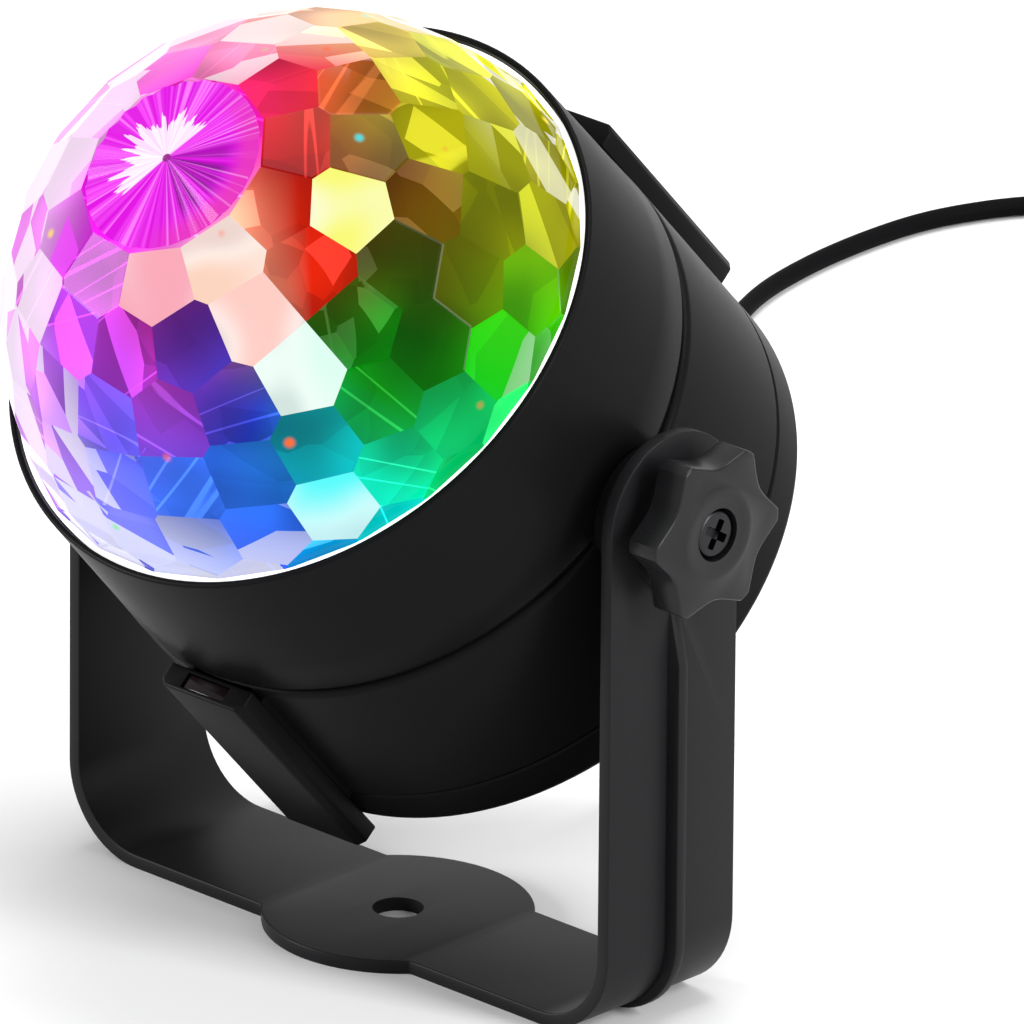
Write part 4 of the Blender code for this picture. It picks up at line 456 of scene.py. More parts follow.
plug_grip = bar_along("plug_grip", meeting_gap, *grip_size)
round_off(plug_grip, 0.0016, segments=5)
length, sink, half = grip_groove_size
for side in (-1, 1):
    for rib in range(5):
        start, edge = grip_groove_start + rib * grip_groove_pitch, grip_size[1] / 2
        carve(plug_grip, box_between("groove", (start, side * (edge + sink), -half),
                                     (start + length, side * (edge - sink), half)))
carve(plug_grip, bar_along("mouth", grip_size[0] - grip_mouth, grip_size[0] + clear_cut,
                           shell_size[1] + 2 * grip_mouth_room, shell_size[2] + 2 * grip_mouth_room))
seat(plug_grip, plug_place)
fit(plug_grip, vinyl, "black_rubber", "bracket", "plug_body")

plug_metal = bar_along("plug_metal", shell_start, shell_end, shell_size[1], shell_size[2])
round_off(plug_metal, 0.0005, segments=3)
carve(plug_metal, bar_along("inside", shell_start - clear_cut, shell_end + clear_cut,
                            shell_size[1] - 2 * shell_wall, shell_size[2] - 2 * shell_wall))
length, half, high = catch_size
for middle in (-catch_middle, catch_middle):
    carve(plug_metal, box_between("catch", (catch_start, middle - half, -high),
                                  (catch_start + length, middle + half, high)))
seat(plug_metal, plug_place)


def metal(name, colour, roughness, brushing=(400.0, 400.0, 400.0), depth=0.000006):
    """Bare or plated metal: fine drawn marks, and gloss that varies along them."""
    look = Finish(bpy.data.materials.new(name))
    stretch = look.node("Mapping", "Vector", Scale=brushing, Vector=look.place())
    marks = look.noise(stretch, 4.0, detail=5.0)
    return look.dress(colour, (0.88, 1.0), roughness, 0.25, marks, marks, 0.3, depth, Metallic=1.0)


tin = metal("tin_plate", (0.62, 0.62, 0.63), 0.26, brushing=(120.0, 900.0, 900.0))
fit(plug_metal, tin, "steel", "bracket", "plug_shell")

half_tongue = shell_size[1] / 2 - shell_wall - meeting_gap
tongue_low = meeting_gap + shell_wall - shell_size[2] / 2
tongue_top = tongue_low + tongue_thickness
plug_tongue = box_between("plug_tongue_moulding", (shell_start, -half_tongue, tongue_low),
                          (shell_end - tongue_short, half_tongue, tongue_top))
round_off(plug_tongue, 0.0003, segments=2)
start, end = contact_groove_reach
half, sink = contact_groove_size
for contact in range(4):
    middle = (contact - 1.5) * contact_pitch
    carve(plug_tongue, box_between("contact_groove", (start, middle - half, tongue_top - sink),
                                   (end, middle + half, tongue_top + clear_cut)))
seat(plug_tongue, plug_place)
white_moulding = plastic("white_moulding", (0.80, 0.80, 0.78), 0.38, grain=900.0, depth=0.00002, uneven=0.04)
fit(plug_tongue, white_moulding, "white_plastic", "bracket", "plug_tongue")

gilt = metal("gilt_contact", (0.83, 0.62, 0.26), 0.22)
start, end = contact_reach
half, sink, proud = contact_size
contact = box_between("plug_contact_1", (start, -half, tongue_top - sink), (end, half, tongue_top + proud))
round_off(contact, 0.0001, segments=2)


def twin(piece, name):
    """A copy of a piece, with a mesh of its own."""
    other = piece.copy()
    other.data = piece.data.copy()
    other.name = name
    other.data.name = name
    bpy.context.collection.objects.link(other)
    return other


plug_contacts = [contact, *[twin(contact, f"plug_contact_{number}") for number in (2, 3, 4)]]
for number, contact in enumerate(plug_contacts):
    seat(contact, plug_place @ Matrix.Translation((0.0, (number - 1.5) * contact_pitch, 0.0)))
    fit(contact, gilt, "brass", "bracket")

# Coil tie: a soft black strap round the coil's turns, with its end folded over on top.
# It lies flat under the coil and keeps clear of the plug.
tie_angle = math.radians(-62.0)
tie_width = 0.0040
tie_thickness = 0.0005
tie_inside = (0.0046, 0.00008, 0.0222, 0.0066)
tie_outside = (tie_inside[0] - tie_thickness, 0.00001, tie_inside[2] + tie_thickness,
               tie_inside[3] + tie_thickness)
tie_corner = 0.0014
room_corner = 0.0010
fold_reach = (0.0085, 0.0185)
fold_inset = 0.0002


def rounded(outline, radius, *corners, steps=4):
    """The outline with corners rounded, the last first, by curves that start and end a radius away."""
    for corner in corners:
        here = Vector(outline[corner])
        before = here + (Vector(outline[corner - 1]) - here).normalized() * radius
        after = here + (Vector(outline[(corner + 1) % len(outline)]) - here).normalized() * radius
        curve = [before.lerp(here, i / steps).lerp(here.lerp(after, i / steps), i / steps)
                 for i in range(steps + 1)]
        outline = outline[:corner] + [tuple(point) for point in curve] + outline[corner + 1:]
    return outline


def section(near, far, low, high):
    """A rectangular outline."""
    return [(near, low), (far, low), (far, high), (near, high)]


def raise_outline(name, outline, low, high):
    """A flat outline, filled and raised along Z."""
    piece = draw_outline(name, [(x, y, low) for x, y in outline])
    bpy.ops.mesh.edge_face_add()
    draw_to((0.0, 0.0, low), (0.0, 0.0, high))
    face_outwards()
    return piece


def strap_loop(name, sides, corner, length):
    """A rounded loop's filled outline, raised by a length about the middle."""
    near, low, far, high = sides
    return raise_outline(name, rounded(section(near, far, low, high), corner, 3, 2), -length / 2, length / 2)


tie = strap_loop("coil_tie", tie_outside, tie_corner, tie_width)
carve(tie, strap_loop("room", tie_inside, room_corner, tie_width + 2 * clear_cut))
fold = box_between("fold", (fold_reach[0], tie_outside[3] - tie_thickness / 2, fold_inset - tie_width / 2),
                   (fold_reach[1], tie_outside[3] + tie_thickness, tie_width / 2 - fold_inset))
round_off(fold, 0.0002, segments=2)
carve(tie, fold, "UNION")
outwards = Vector((math.cos(tie_angle), math.sin(tie_angle), 0.0))
standing = Vector((0.0, 0.0, 1.0))
tie_place = Matrix((outwards, standing, outwards.cross(standing))).transposed().to_4x4()
seat(tie, Matrix.Translation((coil_middle.x, coil_middle.y, 0.0)) @ tie_place)
fit(tie, vinyl, "black_rubber", "bracket")

cord_length = sum((b - a).length for a, b in zip(cord_line, cord_line[1:]))

# Bracket: one strip of black nylon, bent in the mould to a U, with a round pad for its fixing screw.
# Its edges are eased, its arm tops are half circles, and a thin rib stiffens each arm and its bend.
bracket_width = 0.1040
half_bracket = bracket_width / 2
strip_width = 0.0250
strip_thickness = 0.0020
strip_round = 0.0004
bend_radius = 0.0130
pad_radius = 0.0190
pad_neck = 0.0015
pad_hole_radius = 0.0036
arm_hole_radius = 0.0026
arm_tip = math.radians(4.0)
rib_thickness = 0.0018
rib_height = 0.0020
rib_top = pivot.z - 0.0125
rib_slope = 0.0085
bracket_place = Matrix.Translation((0.0, pivot.y, 0.0))


def arc(middle, radius, start, end, steps):
    """Points along an arc, both ends included."""
    angles = [start + (end - start) * i / steps for i in range(steps + 1)]
    return [(middle[0] + radius * math.cos(a), middle[1] + radius * math.sin(a)) for a in angles]


def strip_stations():
    """Places along the strip's outer face from the right arm's top to the pad's middle, with half widths."""
    tip = strip_width / 2
    pad_start = math.asin(tip / pad_radius)
    stations = [(half_bracket, z, width) for z, width in arc((pivot.z, 0.0), tip, arm_tip, math.pi / 2, 12)]
    stations.append((half_bracket, pivot.z / 2, tip))
    bend = arc((half_bracket - bend_radius, bend_radius), bend_radius, 0.0, -math.pi / 2, 16)
    stations += [(x, z, tip) for x, z in bend]
    stations.append((pad_radius * math.cos(pad_start) + pad_neck, 0.0, tip))
    stations += [(x, 0.0, width) for x, width in arc((0.0, 0.0), pad_radius, pad_start, math.pi / 2, 10)]
    return stations


stations = strip_stations()
stations += [(-x, z, width) for x, z, width in reversed(stations[:-1])]
x, z, width = stations[0]
bracket = first_vertex("bracket_strip", (x, -width, z))
draw_to((x, -width, z), (x, width, z))
bpy.ops.mesh.select_all(action="SELECT")
for before, after in zip(stations, stations[1:]):
    here = (after[0], 0.0, after[1])
    draw_to((before[0], 0.0, before[1]), here)
    bpy.ops.transform.resize(value=(1.0, after[2] / before[2], 1.0), center_override=here)
face_outwards()
wall = bracket.modifiers.new("wall", "SOLIDIFY")
wall.thickness = strip_thickness
wall.offset = 1.0 if bracket.data.polygons[0].normal.x < 0 else -1.0
wall.use_even_offset = True
bpy.ops.object.modifier_apply(modifier=wall.name)
bpy.ops.object.mode_set(mode="EDIT")
face_outwards()
round_off(bracket, strip_round, segments=3, angle=45.0)


def drill(piece, radius, start, end, vertices=48):
    """A round hole through a piece, from one point to another."""
    start, end = Vector(start), Vector(end)
    bpy.ops.object.select_all(action="DESELECT")
    bpy.ops.mesh.primitive_cylinder_add(vertices=vertices, radius=radius, depth=(end - start).length)
    cutter = bpy.context.object
    cutter.matrix_world = (Matrix.Translation((start + end) / 2)
                           @ (end - start).to_track_quat("Z", "Y").to_matrix().to_4x4())
    carve(piece, cutter)


rib_root = strip_thickness / 2
rib_outline = [
    (half_bracket - rib_root, rib_top), (half_bracket, rib_top),
    (half_bracket + rib_height, rib_top - rib_slope),
    *arc((half_bracket + rib_height - bend_radius, bend_radius), bend_radius, 0.0, -math.pi / 2, 16),
    *arc((half_bracket - bend_radius, bend_radius), bend_radius - rib_root, -math.pi / 2, 0.0, 16),
]
for side in (1, -1):
    rib = raise_outline("rib", [(side * x, y) for x, y in rib_outline], -rib_thickness / 2, rib_thickness / 2)
    round_off(rib, 0.0003, segments=2, angle=50.0)
    rib.matrix_world = Matrix.Rotation(math.pi / 2, 4, "X")
    carve(bracket, rib, "UNION")
drill(bracket, arm_hole_radius, (-bracket_width, 0.0, pivot.z), (bracket_width, 0.0, pivot.z))
drill(bracket, pad_hole_radius, (0.0, 0.0, -clear_cut), (0.0, 0.0, strip_thickness + clear_cut), vertices=64)
seat(bracket, bracket_place)
black_nylon = plastic("black_nylon", (0.009, 0.009, 0.010), 0.42, grain=2200.0, depth=0.000035, specular=0.10)
fit(bracket, black_nylon, "black_strip", "bracket", "bracket")

# Friction washers: soft black rings between each arm and the housing, gripped when the knob is turned.
# Their rims are rounded, and they stay on the bracket when the head tilts.
arm_inner = half_bracket - strip_thickness
grip_washer_radius = 0.0116
grip_washer_thickness = 0.0011
grip_washer_round = 0.0004
screw_room = 0.0022
side_turns = {"left": Matrix.Rotation(-math.pi / 2, 4, "Y"), "right": Matrix.Rotation(math.pi / 2, 4, "Y")}


def washer_outline(radius, low, high, corner):
    """A washer's section: its rim is rounded, and its hole clears the knob's screw."""
    return rounded(section(screw_room, radius, low, high), corner, 2, 1)


def fit_both_sides(piece, material, slot, body, node):
    """Fits a piece turned about the right pivot there, and its twin on the left."""
    name = piece.name.removesuffix("right")
    for side, one in (("left", twin(piece, name + "left")), ("right", piece)):
        seat(one, head_place @ side_turns[side])
        fit(one, material, slot, body.format(side), node + side)


washer_top = arm_inner - meeting_gap
outline = washer_outline(grip_washer_radius, washer_top - grip_washer_thickness, washer_top, grip_washer_round)
fit_both_sides(spin_outline("grip_washer_right", outline), vinyl, "black_rubber", "bracket", "friction_washer_")

# Rear housing: a satin black moulding with a rounded bead at the seam, a spigot inside the front
# shell, a boss for each pivot and two long pods. The lower pod has the window cut in its nose.
housing_radius = 0.0455
housing_wall = 0.0020
housing_inner = housing_radius - housing_wall
housing_edge = 0.0003
seam = 0.0024
bead_radius = 0.0011
spigot_length = 0.0031
spigot_wall = 0.0012
spigot_radius = housing_inner - meeting_gap
cap_seam = -0.0250
housing_rear = cap_seam + meeting_gap
boss_radius = 0.0085
boss_inner = 0.0413
boss_face = washer_top - grip_washer_thickness - meeting_gap
boss_round = 0.0005
boss_bore_end = 0.052
insert_radius = 0.0035
housing_outline = [
    (spigot_radius, seam), (spigot_radius, seam + spigot_length),
    (spigot_radius - spigot_wall, seam + spigot_length), (spigot_radius - spigot_wall, seam - spigot_length),
    (housing_inner, seam - spigot_length), (housing_inner, housing_rear),
    (housing_radius - housing_edge, housing_rear), (housing_radius, housing_rear + housing_edge),
    *arc((housing_radius - bead_radius, seam - bead_radius), bead_radius, 0.0, math.pi / 2, 10),
]
rear_housing = spin_outline("rear_housing", housing_outline, steps=160)

half_pod = 0.0155 / 2
pod_foot = housing_radius + meeting_gap
pod_radius = 0.0494
pod_front = 0.0042
pod_rear = -0.0325
pod_edge = 0.0010
pod_wall = 0.0020
pod_root = 0.0010
pocket_half = 0.0055
pocket_rear = pod_front - 0.0150
pocket_drop = 0.0010
window_width = 0.0080
window_height = 0.0024
pod_section = [
    (-half_pod, pod_foot), (half_pod, pod_foot), (half_pod, pod_radius - pod_edge),
    (half_pod - pod_edge, pod_radius), (pod_edge - half_pod, pod_radius), (-half_pod, pod_radius - pod_edge),
]
for flip in (0.0, math.pi):
    pod = raise_outline("pod", pod_section, pod_rear, pod_front)
    round_off(pod, 0.00035, segments=3, angle=30.0)
    root = box_between("root", (housing_edge - half_pod, housing_radius - housing_wall / 2, housing_rear),
                       (half_pod - housing_edge, pod_foot + pod_root, seam - bead_radius))
    for shape in (pod, root):
        shape.matrix_world = Matrix.Rotation(flip, 4, "Z")
        carve(rear_housing, shape, "UNION")
boss_outline = rounded(section(0.0, boss_radius, boss_inner, boss_face), boss_round, 2)
for side in ("right", "left"):
    carve(rear_housing, spin_outline("boss", boss_outline, side_turns[side]), "UNION")
drill(rear_housing, insert_radius + meeting_gap, (-boss_bore_end, 0.0, 0.0), (boss_bore_end, 0.0, 0.0))
window_middle = -(pod_foot + pod_radius) / 2
carve(rear_housing, box_between("pocket", (-pocket_half, window_middle - pocket_drop, pocket_rear),
                                (pocket_half, -spigot_radius + spigot_wall + clear_cut, pod_front - pod_wall)))
carve(rear_housing, box_between(
    "window_cut", (-window_width / 2, window_middle - window_height / 2, pod_front - 2 * pod_wall),
    (window_width / 2, window_middle + window_height / 2, pod_front + clear_cut)))
seat(rear_housing, head_place)
satin_black = plastic("satin_black", (0.0050, 0.0050, 0.0055), 0.36, specular=0.035)
fit(rear_housing, satin_black, "black_plastic", "head", "rear_shell")

# Window: a polished pane of dark acrylic, pressed into the lower pod's nose a little below flush.
# It passes infrared to the receiver behind it and looks nearly black.
pane_room = 0.0001
pane_half = window_width / 2 - pane_room
pane_rise = window_height / 2 - pane_room
pane_sink = 0.0003
pane = box_between("window_pane", (-pane_half, window_middle - pane_rise, pod_front - pod_wall),
                   (pane_half, window_middle + pane_rise, pod_front - pane_sink))
round_off(pane, 0.0002, segments=3)
seat(pane, head_place)
dark_acrylic = plastic("dark_acrylic", (0.006, 0.003, 0.004), 0.10, grain=500.0, depth=0.000002, specular=0.15)
fit(pane, dark_acrylic, "dark_window", "head", "ir_window")

# Front housing: a plain round shell that slips over the rear one's spigot and ends in a thin rounded
# lip around the dome. It has a notch for each pivot boss and a shelf inside for the deck.
lip_inner = 0.04404
lip_radius = 0.0450
lip_top = 0.0306
lip_inner_round = 0.0003
lip_outer_round = 0.0005
taper_sink = 0.00018
taper_start = boss_radius + 0.0016
front_edge = (0.0002, 0.0004)
seam_groove = 0.0008
shelf_top = 0.0235
shelf_thickness = 0.0020
shelf_inner = 0.0385
deck_thickness = 0.0016
notch_reach = (0.0375, 0.055)
front_low = seam + meeting_gap
front_foot = front_low + bead_radius
deck_front = shelf_top + meeting_gap + deck_thickness
front_outline = [
    (lip_inner, lip_top - lip_inner_round),
    *arc((lip_inner + lip_inner_round, lip_top - lip_inner_round), lip_inner_round, math.pi, math.pi / 2, 4),
    *arc((lip_radius - lip_outer_round, lip_top - lip_outer_round), lip_outer_round, math.pi / 2, 0.0, 8),
    (housing_radius - taper_sink, taper_start), (housing_radius, front_foot + front_edge[1]),
    (housing_radius - front_edge[0], front_foot), (housing_radius - seam_groove, front_low),
    (housing_inner, front_low), (housing_inner, shelf_top - shelf_thickness),
    (shelf_inner, shelf_top - shelf_thickness), (shelf_inner, shelf_top), (housing_inner, shelf_top),
    (housing_inner, deck_front), (lip_inner, deck_front + housing_wall),
]
front_housing = spin_outline("front_housing", front_outline, steps=160)
for side in (1, -1):
    start, end = [(side * reach, 0.0, 0.0) for reach in notch_reach]
    drill(front_housing, boss_radius + meeting_gap, start, end, vertices=96)
seat(front_housing, head_place)
fit(front_housing, satin_black, "black_plastic", "head", "front_shell")

# Rear cap: a shallow black cup that closes the housing, held by three sunk screws.
# The cord's strain relief is snapped into the hole at its middle.
cap_round = 0.0014
cap_hole = relief_neck + meeting_gap
cap_outline = [
    (housing_inner, cap_seam), (housing_radius - housing_edge, cap_seam),
    (housing_radius, cap_seam - housing_edge),
    *arc((housing_radius - cap_round, cap_rear + cap_round), cap_round, 0.0, -math.pi / 2, 10),
    (cap_hole, cap_rear), (cap_hole, cap_inside), (housing_inner, cap_inside),
]
rear_cap = spin_outline("rear_cap_moulding", cap_outline, steps=160)
screw_circle = 0.0392
screw_sink = 0.0010
screw_head_room = 0.0025
screw_shank_room = 0.0013
cap_screw_angles = [math.pi / 2 + math.tau * i / 3 for i in range(3)]
for angle in cap_screw_angles:
    x, y = screw_circle * math.cos(angle), screw_circle * math.sin(angle)
    start = (x, y, cap_rear - clear_cut)
    drill(rear_cap, screw_head_room, start, (x, y, cap_rear + screw_sink), vertices=40)
    drill(rear_cap, screw_shank_room, start, (x, y, cap_inside + clear_cut), vertices=32)
seat(rear_cap, head_place)
fit(rear_cap, satin_black, "black_plastic", "head", "rear_cap")

# Cap screws: small zinc-plated pan-head screws with a cross recess, driven into the housing's posts.
# One is modelled and copied round the cap.
zinc = metal("zinc_plate", (0.58, 0.58, 0.60), 0.32, brushing=(500.0, 500.0, 500.0))
cap_screw_head = 0.0020
cap_screw_shank = 0.0010
cap_screw_tip = 0.0060
head_seat = cap_rear + screw_sink - meeting_gap
head_low = head_seat - 0.0014
# Half a recess's length and width, and its depth
cap_screw_recess = (0.0011, 0.00028, 0.0008)


def cross_recess(screw, recess, low, high, turn=0.0, ease=0.0):
    """Cuts a cross recess into a screw's head, its corners eased where asked."""
    long, wide = recess[:2]
    for quarter in (0.0, math.pi / 2):
        slot = box_between("slot", (-long, -wide, low), (long, wide, high))
        if ease:
            round_off(slot, ease, segments=2)
        slot.matrix_world = Matrix.Rotation(turn + quarter, 4, "Z")
        carve(screw, slot)


outline = [
    (0.0, head_low), (cap_screw_head, head_low), (cap_screw_head, head_seat), (cap_screw_shank, head_seat),
    (cap_screw_shank, head_seat + cap_screw_tip), (0.0, head_seat + cap_screw_tip),
]
screw = spin_outline("cap_screw_turned_1", rounded(outline, 0.0006, 1), steps=32)
cross_recess(screw, cap_screw_recess, head_low - clear_cut, head_low + cap_screw_recess[2])
cap_screws = [screw, *[twin(screw, f"cap_screw_turned_{number}") for number in (2, 3)]]
for number, (screw, angle) in enumerate(zip(cap_screws, cap_screw_angles)):
    middle = Matrix.Translation((screw_circle * math.cos(angle), screw_circle * math.sin(angle), 0.0))
    seat(screw, head_place @ middle @ Matrix.Rotation(number, 4, "Z"))
    fit(screw, zinc, "steel", "head", f"cap_screw_{number + 1}")

# Pivot hardware: a brass insert in each boss, a zinc washer under each knob.
# The washer rides in and out with the knob as the screw is turned.
brass = metal("turned_brass", (0.72, 0.50, 0.20), 0.30, brushing=(700.0, 700.0, 700.0))
insert_low = boss_face - 0.0085
insert_top = boss_face - meeting_gap
insert_round = 0.0002
outline = rounded(section(screw_room, insert_radius, insert_low, insert_top), insert_round, 2)
insert = spin_outline("brass_insert_right", outline, steps=48)
knob_washer_radius = 0.0060
knob_washer_face = half_bracket + meeting_gap
knob_washer_top = knob_washer_face + 0.0008
knob_washer_round = 0.0002
outline = washer_outline(knob_washer_radius, knob_washer_face, knob_washer_top, knob_washer_round)
washer = spin_outline("zinc_washer_right", outline, steps=64)
fit_both_sides(insert, brass, "brass", "head", "pivot_insert_")
fit_both_sides(washer, zinc, "steel", "washer_{}", "knob_washer_")

# Knobs: six blunt lobes with hollow flanks, moulded in black plastic over the head of a black screw.
# A low raised ring surrounds the sunk screw, and the front edge is finely rounded.
knob_back = knob_washer_top + meeting_gap
knob_hub_radius = 0.0078
knob_hub_length = 0.0014
knob_hub_sink = 0.0020
knob_grip_length = 0.0052
knob_front = knob_back + knob_hub_length + knob_grip_length
knob_radius = 0.0122
knob_valley = 0.0096
knob_first_lobe = math.radians(58.0) + head_tip
knob_lobes = 6
knob_lobe_flat = 0.068
knob_flank_power = 0.90
knob_recess = 0.0038
knob_recess_depth = 0.0026
knob_points = 28
knob_ring_sink = 0.0010
# The raised ring's top, from the outside in: radius, and height above the front
knob_ring = ((0.0072, -0.0001), (0.0067, 0.00014), (0.0059, 0.00020), (0.0050, 0.00012), (0.0042, 0.00002))


def knob_reach(share):
    """How far the knob reaches at a share of the way from one lobe's middle to the next."""
    share = min(share, 1 - share)
    fall = max(0.0, share - knob_lobe_flat) / (0.5 - knob_lobe_flat)
    return knob_radius - (knob_radius - knob_valley) * math.sin(fall * math.pi / 2) ** knob_flank_power


lobe_outline = []
for i in range(knob_lobes * knob_points):
    lobe, along = divmod(i, knob_points)
    angle = knob_first_lobe + math.tau * (lobe + along / knob_points) / knob_lobes
    radius = knob_reach(along / knob_points)
    lobe_outline.append((radius * math.cos(angle), radius * math.sin(angle)))
knob = raise_outline("knob_moulding_right", lobe_outline, knob_back + knob_hub_length, knob_front)
round_off(knob, 0.00035, segments=3, angle=50.0)
hub_outline = section(0.0, knob_hub_radius, knob_back, knob_front - knob_hub_sink)
carve(knob, spin_outline("hub", rounded(hub_outline, 0.0003, 1), steps=64), "UNION")
outline = [(radius, knob_front - knob_ring_sink) for radius in (0.0, knob_ring[0][0])]
outline += [(radius, knob_front + rise) for radius, rise in (*knob_ring, (0.0, knob_ring[-1][1]))]
carve(knob, spin_outline("raised_ring", outline), "UNION")
drill(knob, knob_recess, (0.0, 0.0, knob_front - knob_recess_depth), (0.0, 0.0, knob_front + clear_cut),
      vertices=64)
drill(knob, screw_room, (0.0, 0.0, knob_back - clear_cut), (0.0, 0.0, knob_front + clear_cut), vertices=32)

screw_seat = knob_front - knob_recess_depth + meeting_gap
screw_top = screw_seat + 0.0020
screw_end = insert_low - 0.0005
screw_radius = 0.0019
screw_tip = (0.0016, 0.0004)
screw_head = 0.0034
knob_screw_recess = (0.0022, 0.00062, 0.0015)
outline = [
    (0.0, screw_end), (screw_tip[0], screw_end), (screw_radius, screw_end + screw_tip[1]),
    (screw_radius, screw_seat), (screw_head, screw_seat), (screw_head, screw_top), (0.0, screw_top),
]
screw = spin_outline("knob_screw_turned_right", rounded(outline, 0.0007, 5, steps=6), steps=64)
cross_recess(screw, knob_screw_recess, screw_top - knob_screw_recess[2], screw_top + clear_cut,
             turn=knob_first_lobe, ease=0.0002)
knob_black = plastic("knob_black", (0.009, 0.009, 0.010), 0.28, grain=2400.0, depth=0.00002, specular=0.20)
fit_both_sides(knob, knob_black, "black_plastic", "knob_{}", "knob_")
black_oxide = metal("black_oxide", (0.030, 0.030, 0.032), 0.34, brushing=(600.0, 600.0, 600.0))
fit_both_sides(screw, black_oxide, "black_steel", "knob_{}", "knob_screw_")

# Dome: a clear acrylic moulding of flat facets, in painted light of every colour: an emission stands for the
# lights below it.
# Each facet's painted colours, streaks and glints are its own, standing for the way it bends the light.
dome_radius = 0.0425
dome_middle = 0.0263
dome_wall = 0.0022
dome_rim = 0.0299
ring_inner = 0.04342
crown_radius = 0.0129
crown_rise = 0.0020
crown_plane = dome_middle + math.sqrt(dome_radius**2 - crown_radius**2)
facet_bevel = 0.00030
close_by = 0.0001
# Each row of facets: its angle from the crown, its facets, and its turn as a share of a facet
facet_rows = (
    (24.5, 11, 0.0), (37.5, 16, 0.5), (50.5, 20, 0.25), (63.5, 23, 0.6),
    (76.5, 25, 0.1), (89.5, 25, 0.6), (102.5, 25, 0.1),
)
row_step = 13.0
last_row = 170.0
row_facets = 25


def facet_directions():
    """Unit vectors to the middle of each facet, with one at the crown and one opposite."""
    directions = [Vector((0.0, 0.0, 1.0)), Vector((0.0, 0.0, -1.0))]
    rows = list(facet_rows)
    while rows[-1][0] + row_step < last_row:
        angle = rows[-1][0] + row_step
        rows.append((angle, max(3, round(row_facets * math.sin(math.radians(angle)))), 0.1))
    for angle, count, turn in rows:
        polar = math.radians(angle)
        for i in range(count):
            azimuth = math.tau * (i + turn) / count
            directions.append(Vector((math.sin(polar) * math.cos(azimuth),
                                      math.sin(polar) * math.sin(azimuth), math.cos(polar))))
    return directions


def faceted_ball():
    """The solid left by planes that touch a sphere at each facet's middle."""
    hull = bmesh.new()
    for direction in facet_directions():
        hull.verts.new(direction)
    bmesh.ops.convex_hull(hull, input=hull.verts)
    bmesh.ops.triangulate(hull, faces=hull.faces)
    hull.verts.index_update()
    ball = bmesh.new()
    corner = {}
    for face in hull.faces:
        face.normal_update()
        corner[face] = ball.verts.new(face.normal * (dome_radius / face.verts[0].co.dot(face.normal)))
    for vert in hull.verts:
        side = vert.co.orthogonal().normalized()
        up = vert.co.cross(side)
        around = sorted(vert.link_faces, key=lambda f: math.atan2(f.normal.dot(up), f.normal.dot(side)))
        ball.faces.new([corner[face] for face in around])
    hull.free()
    bmesh.ops.remove_doubles(ball, verts=ball.verts, dist=close_by)
    bmesh.ops.translate(ball, verts=ball.verts, vec=(0.0, 0.0, dome_middle))
    return ball


def screen(red, green, blue):
    """A colour as a screen shows it, from 0 to 255, in the shader's own scale."""
    return (*[(channel / 255) ** 2.2 for channel in (red, green, blue)], 1.0)


# Each ring's painted light colours run anticlockwise from the left, as seen from the front right
rim_colours = (
    (0.00, (240, 130, 245)), (0.06, (215, 120, 250)), (0.12, (140, 120, 250)), (0.18, (95, 120, 250)),
    (0.24, (25, 60, 225)), (0.29, (0, 150, 215)), (0.33, (0, 120, 120)), (0.38, (0, 110, 60)),
    (0.44, (10, 125, 5)), (0.49, (60, 130, 0)), (0.53, (150, 150, 20)), (0.60, (175, 172, 0)),
    (0.67, (205, 205, 30)), (0.74, (240, 190, 120)), (0.80, (245, 140, 190)), (0.88, (245, 110, 240)),
    (1.00, (240, 130, 245)),
)
wide_colours = (
    (0.00, (212, 60, 235)), (0.06, (170, 60, 230)), (0.12, (110, 90, 250)), (0.18, (60, 115, 252)),
    (0.24, (30, 110, 245)), (0.29, (0, 175, 225)), (0.33, (0, 240, 235)), (0.38, (0, 235, 130)),
    (0.44, (10, 190, 10)), (0.49, (70, 190, 0)), (0.54, (130, 140, 0)), (0.60, (155, 155, 0)),
    (0.66, (160, 155, 0)), (0.71, (180, 110, 20)), (0.75, (225, 45, 60)), (0.80, (240, 20, 130)),
    (0.88, (240, 20, 230)), (1.00, (212, 60, 235)),
)
middle_colours = (
    (0.00, (190, 30, 90)), (0.06, (150, 35, 125)), (0.12, (105, 48, 165)), (0.18, (40, 65, 210)),
    (0.24, (0, 125, 150)), (0.29, (0, 185, 180)), (0.34, (0, 170, 130)), (0.40, (0, 150, 20)),
    (0.46, (20, 100, 0)), (0.52, (75, 80, 0)), (0.60, (105, 92, 0)), (0.67, (120, 60, 0)),
    (0.73, (200, 20, 12)), (0.80, (225, 30, 50)), (0.87, (245, 190, 200)), (0.94, (225, 60, 90)),
    (1.00, (190, 30, 90)),
)
heart_colours = (
    (0.00, (215, 40, 70)), (0.10, (165, 60, 95)), (0.20, (40, 100, 125)), (0.30, (0, 120, 110)),
    (0.40, (35, 85, 5)), (0.50, (70, 55, 0)), (0.60, (110, 45, 0)), (0.68, (150, 30, 0)),
    (0.76, (210, 35, 10)), (0.84, (240, 150, 120)), (0.92, (245, 190, 175)), (1.00, (215, 40, 70)),
)
# Facets painted with a highlight, as if they catch a light full on, by their place from that same side
full_facets = (
    (0.09, -0.23, (222, 255, 240)), (0.16, 0.20, (248, 250, 120)), (-0.14, -0.10, (255, 205, 195)),
    (-0.28, 0.22, (252, 225, 220)), (-0.12, 0.16, (250, 212, 190)), (-0.36, 0.08, (248, 170, 185)),
    (0.02, -0.72, (90, 250, 250)),
)
glow_front = Vector((0.57, -0.69, 0.45)).normalized()
glow_right = Vector((0.72, 0.69, 0.0))
glow_right = (glow_right - glow_front * glow_right.dot(glow_front)).normalized()
glow_up = glow_front.cross(glow_right)
glow_middle = pivot + dome_axis * dome_middle

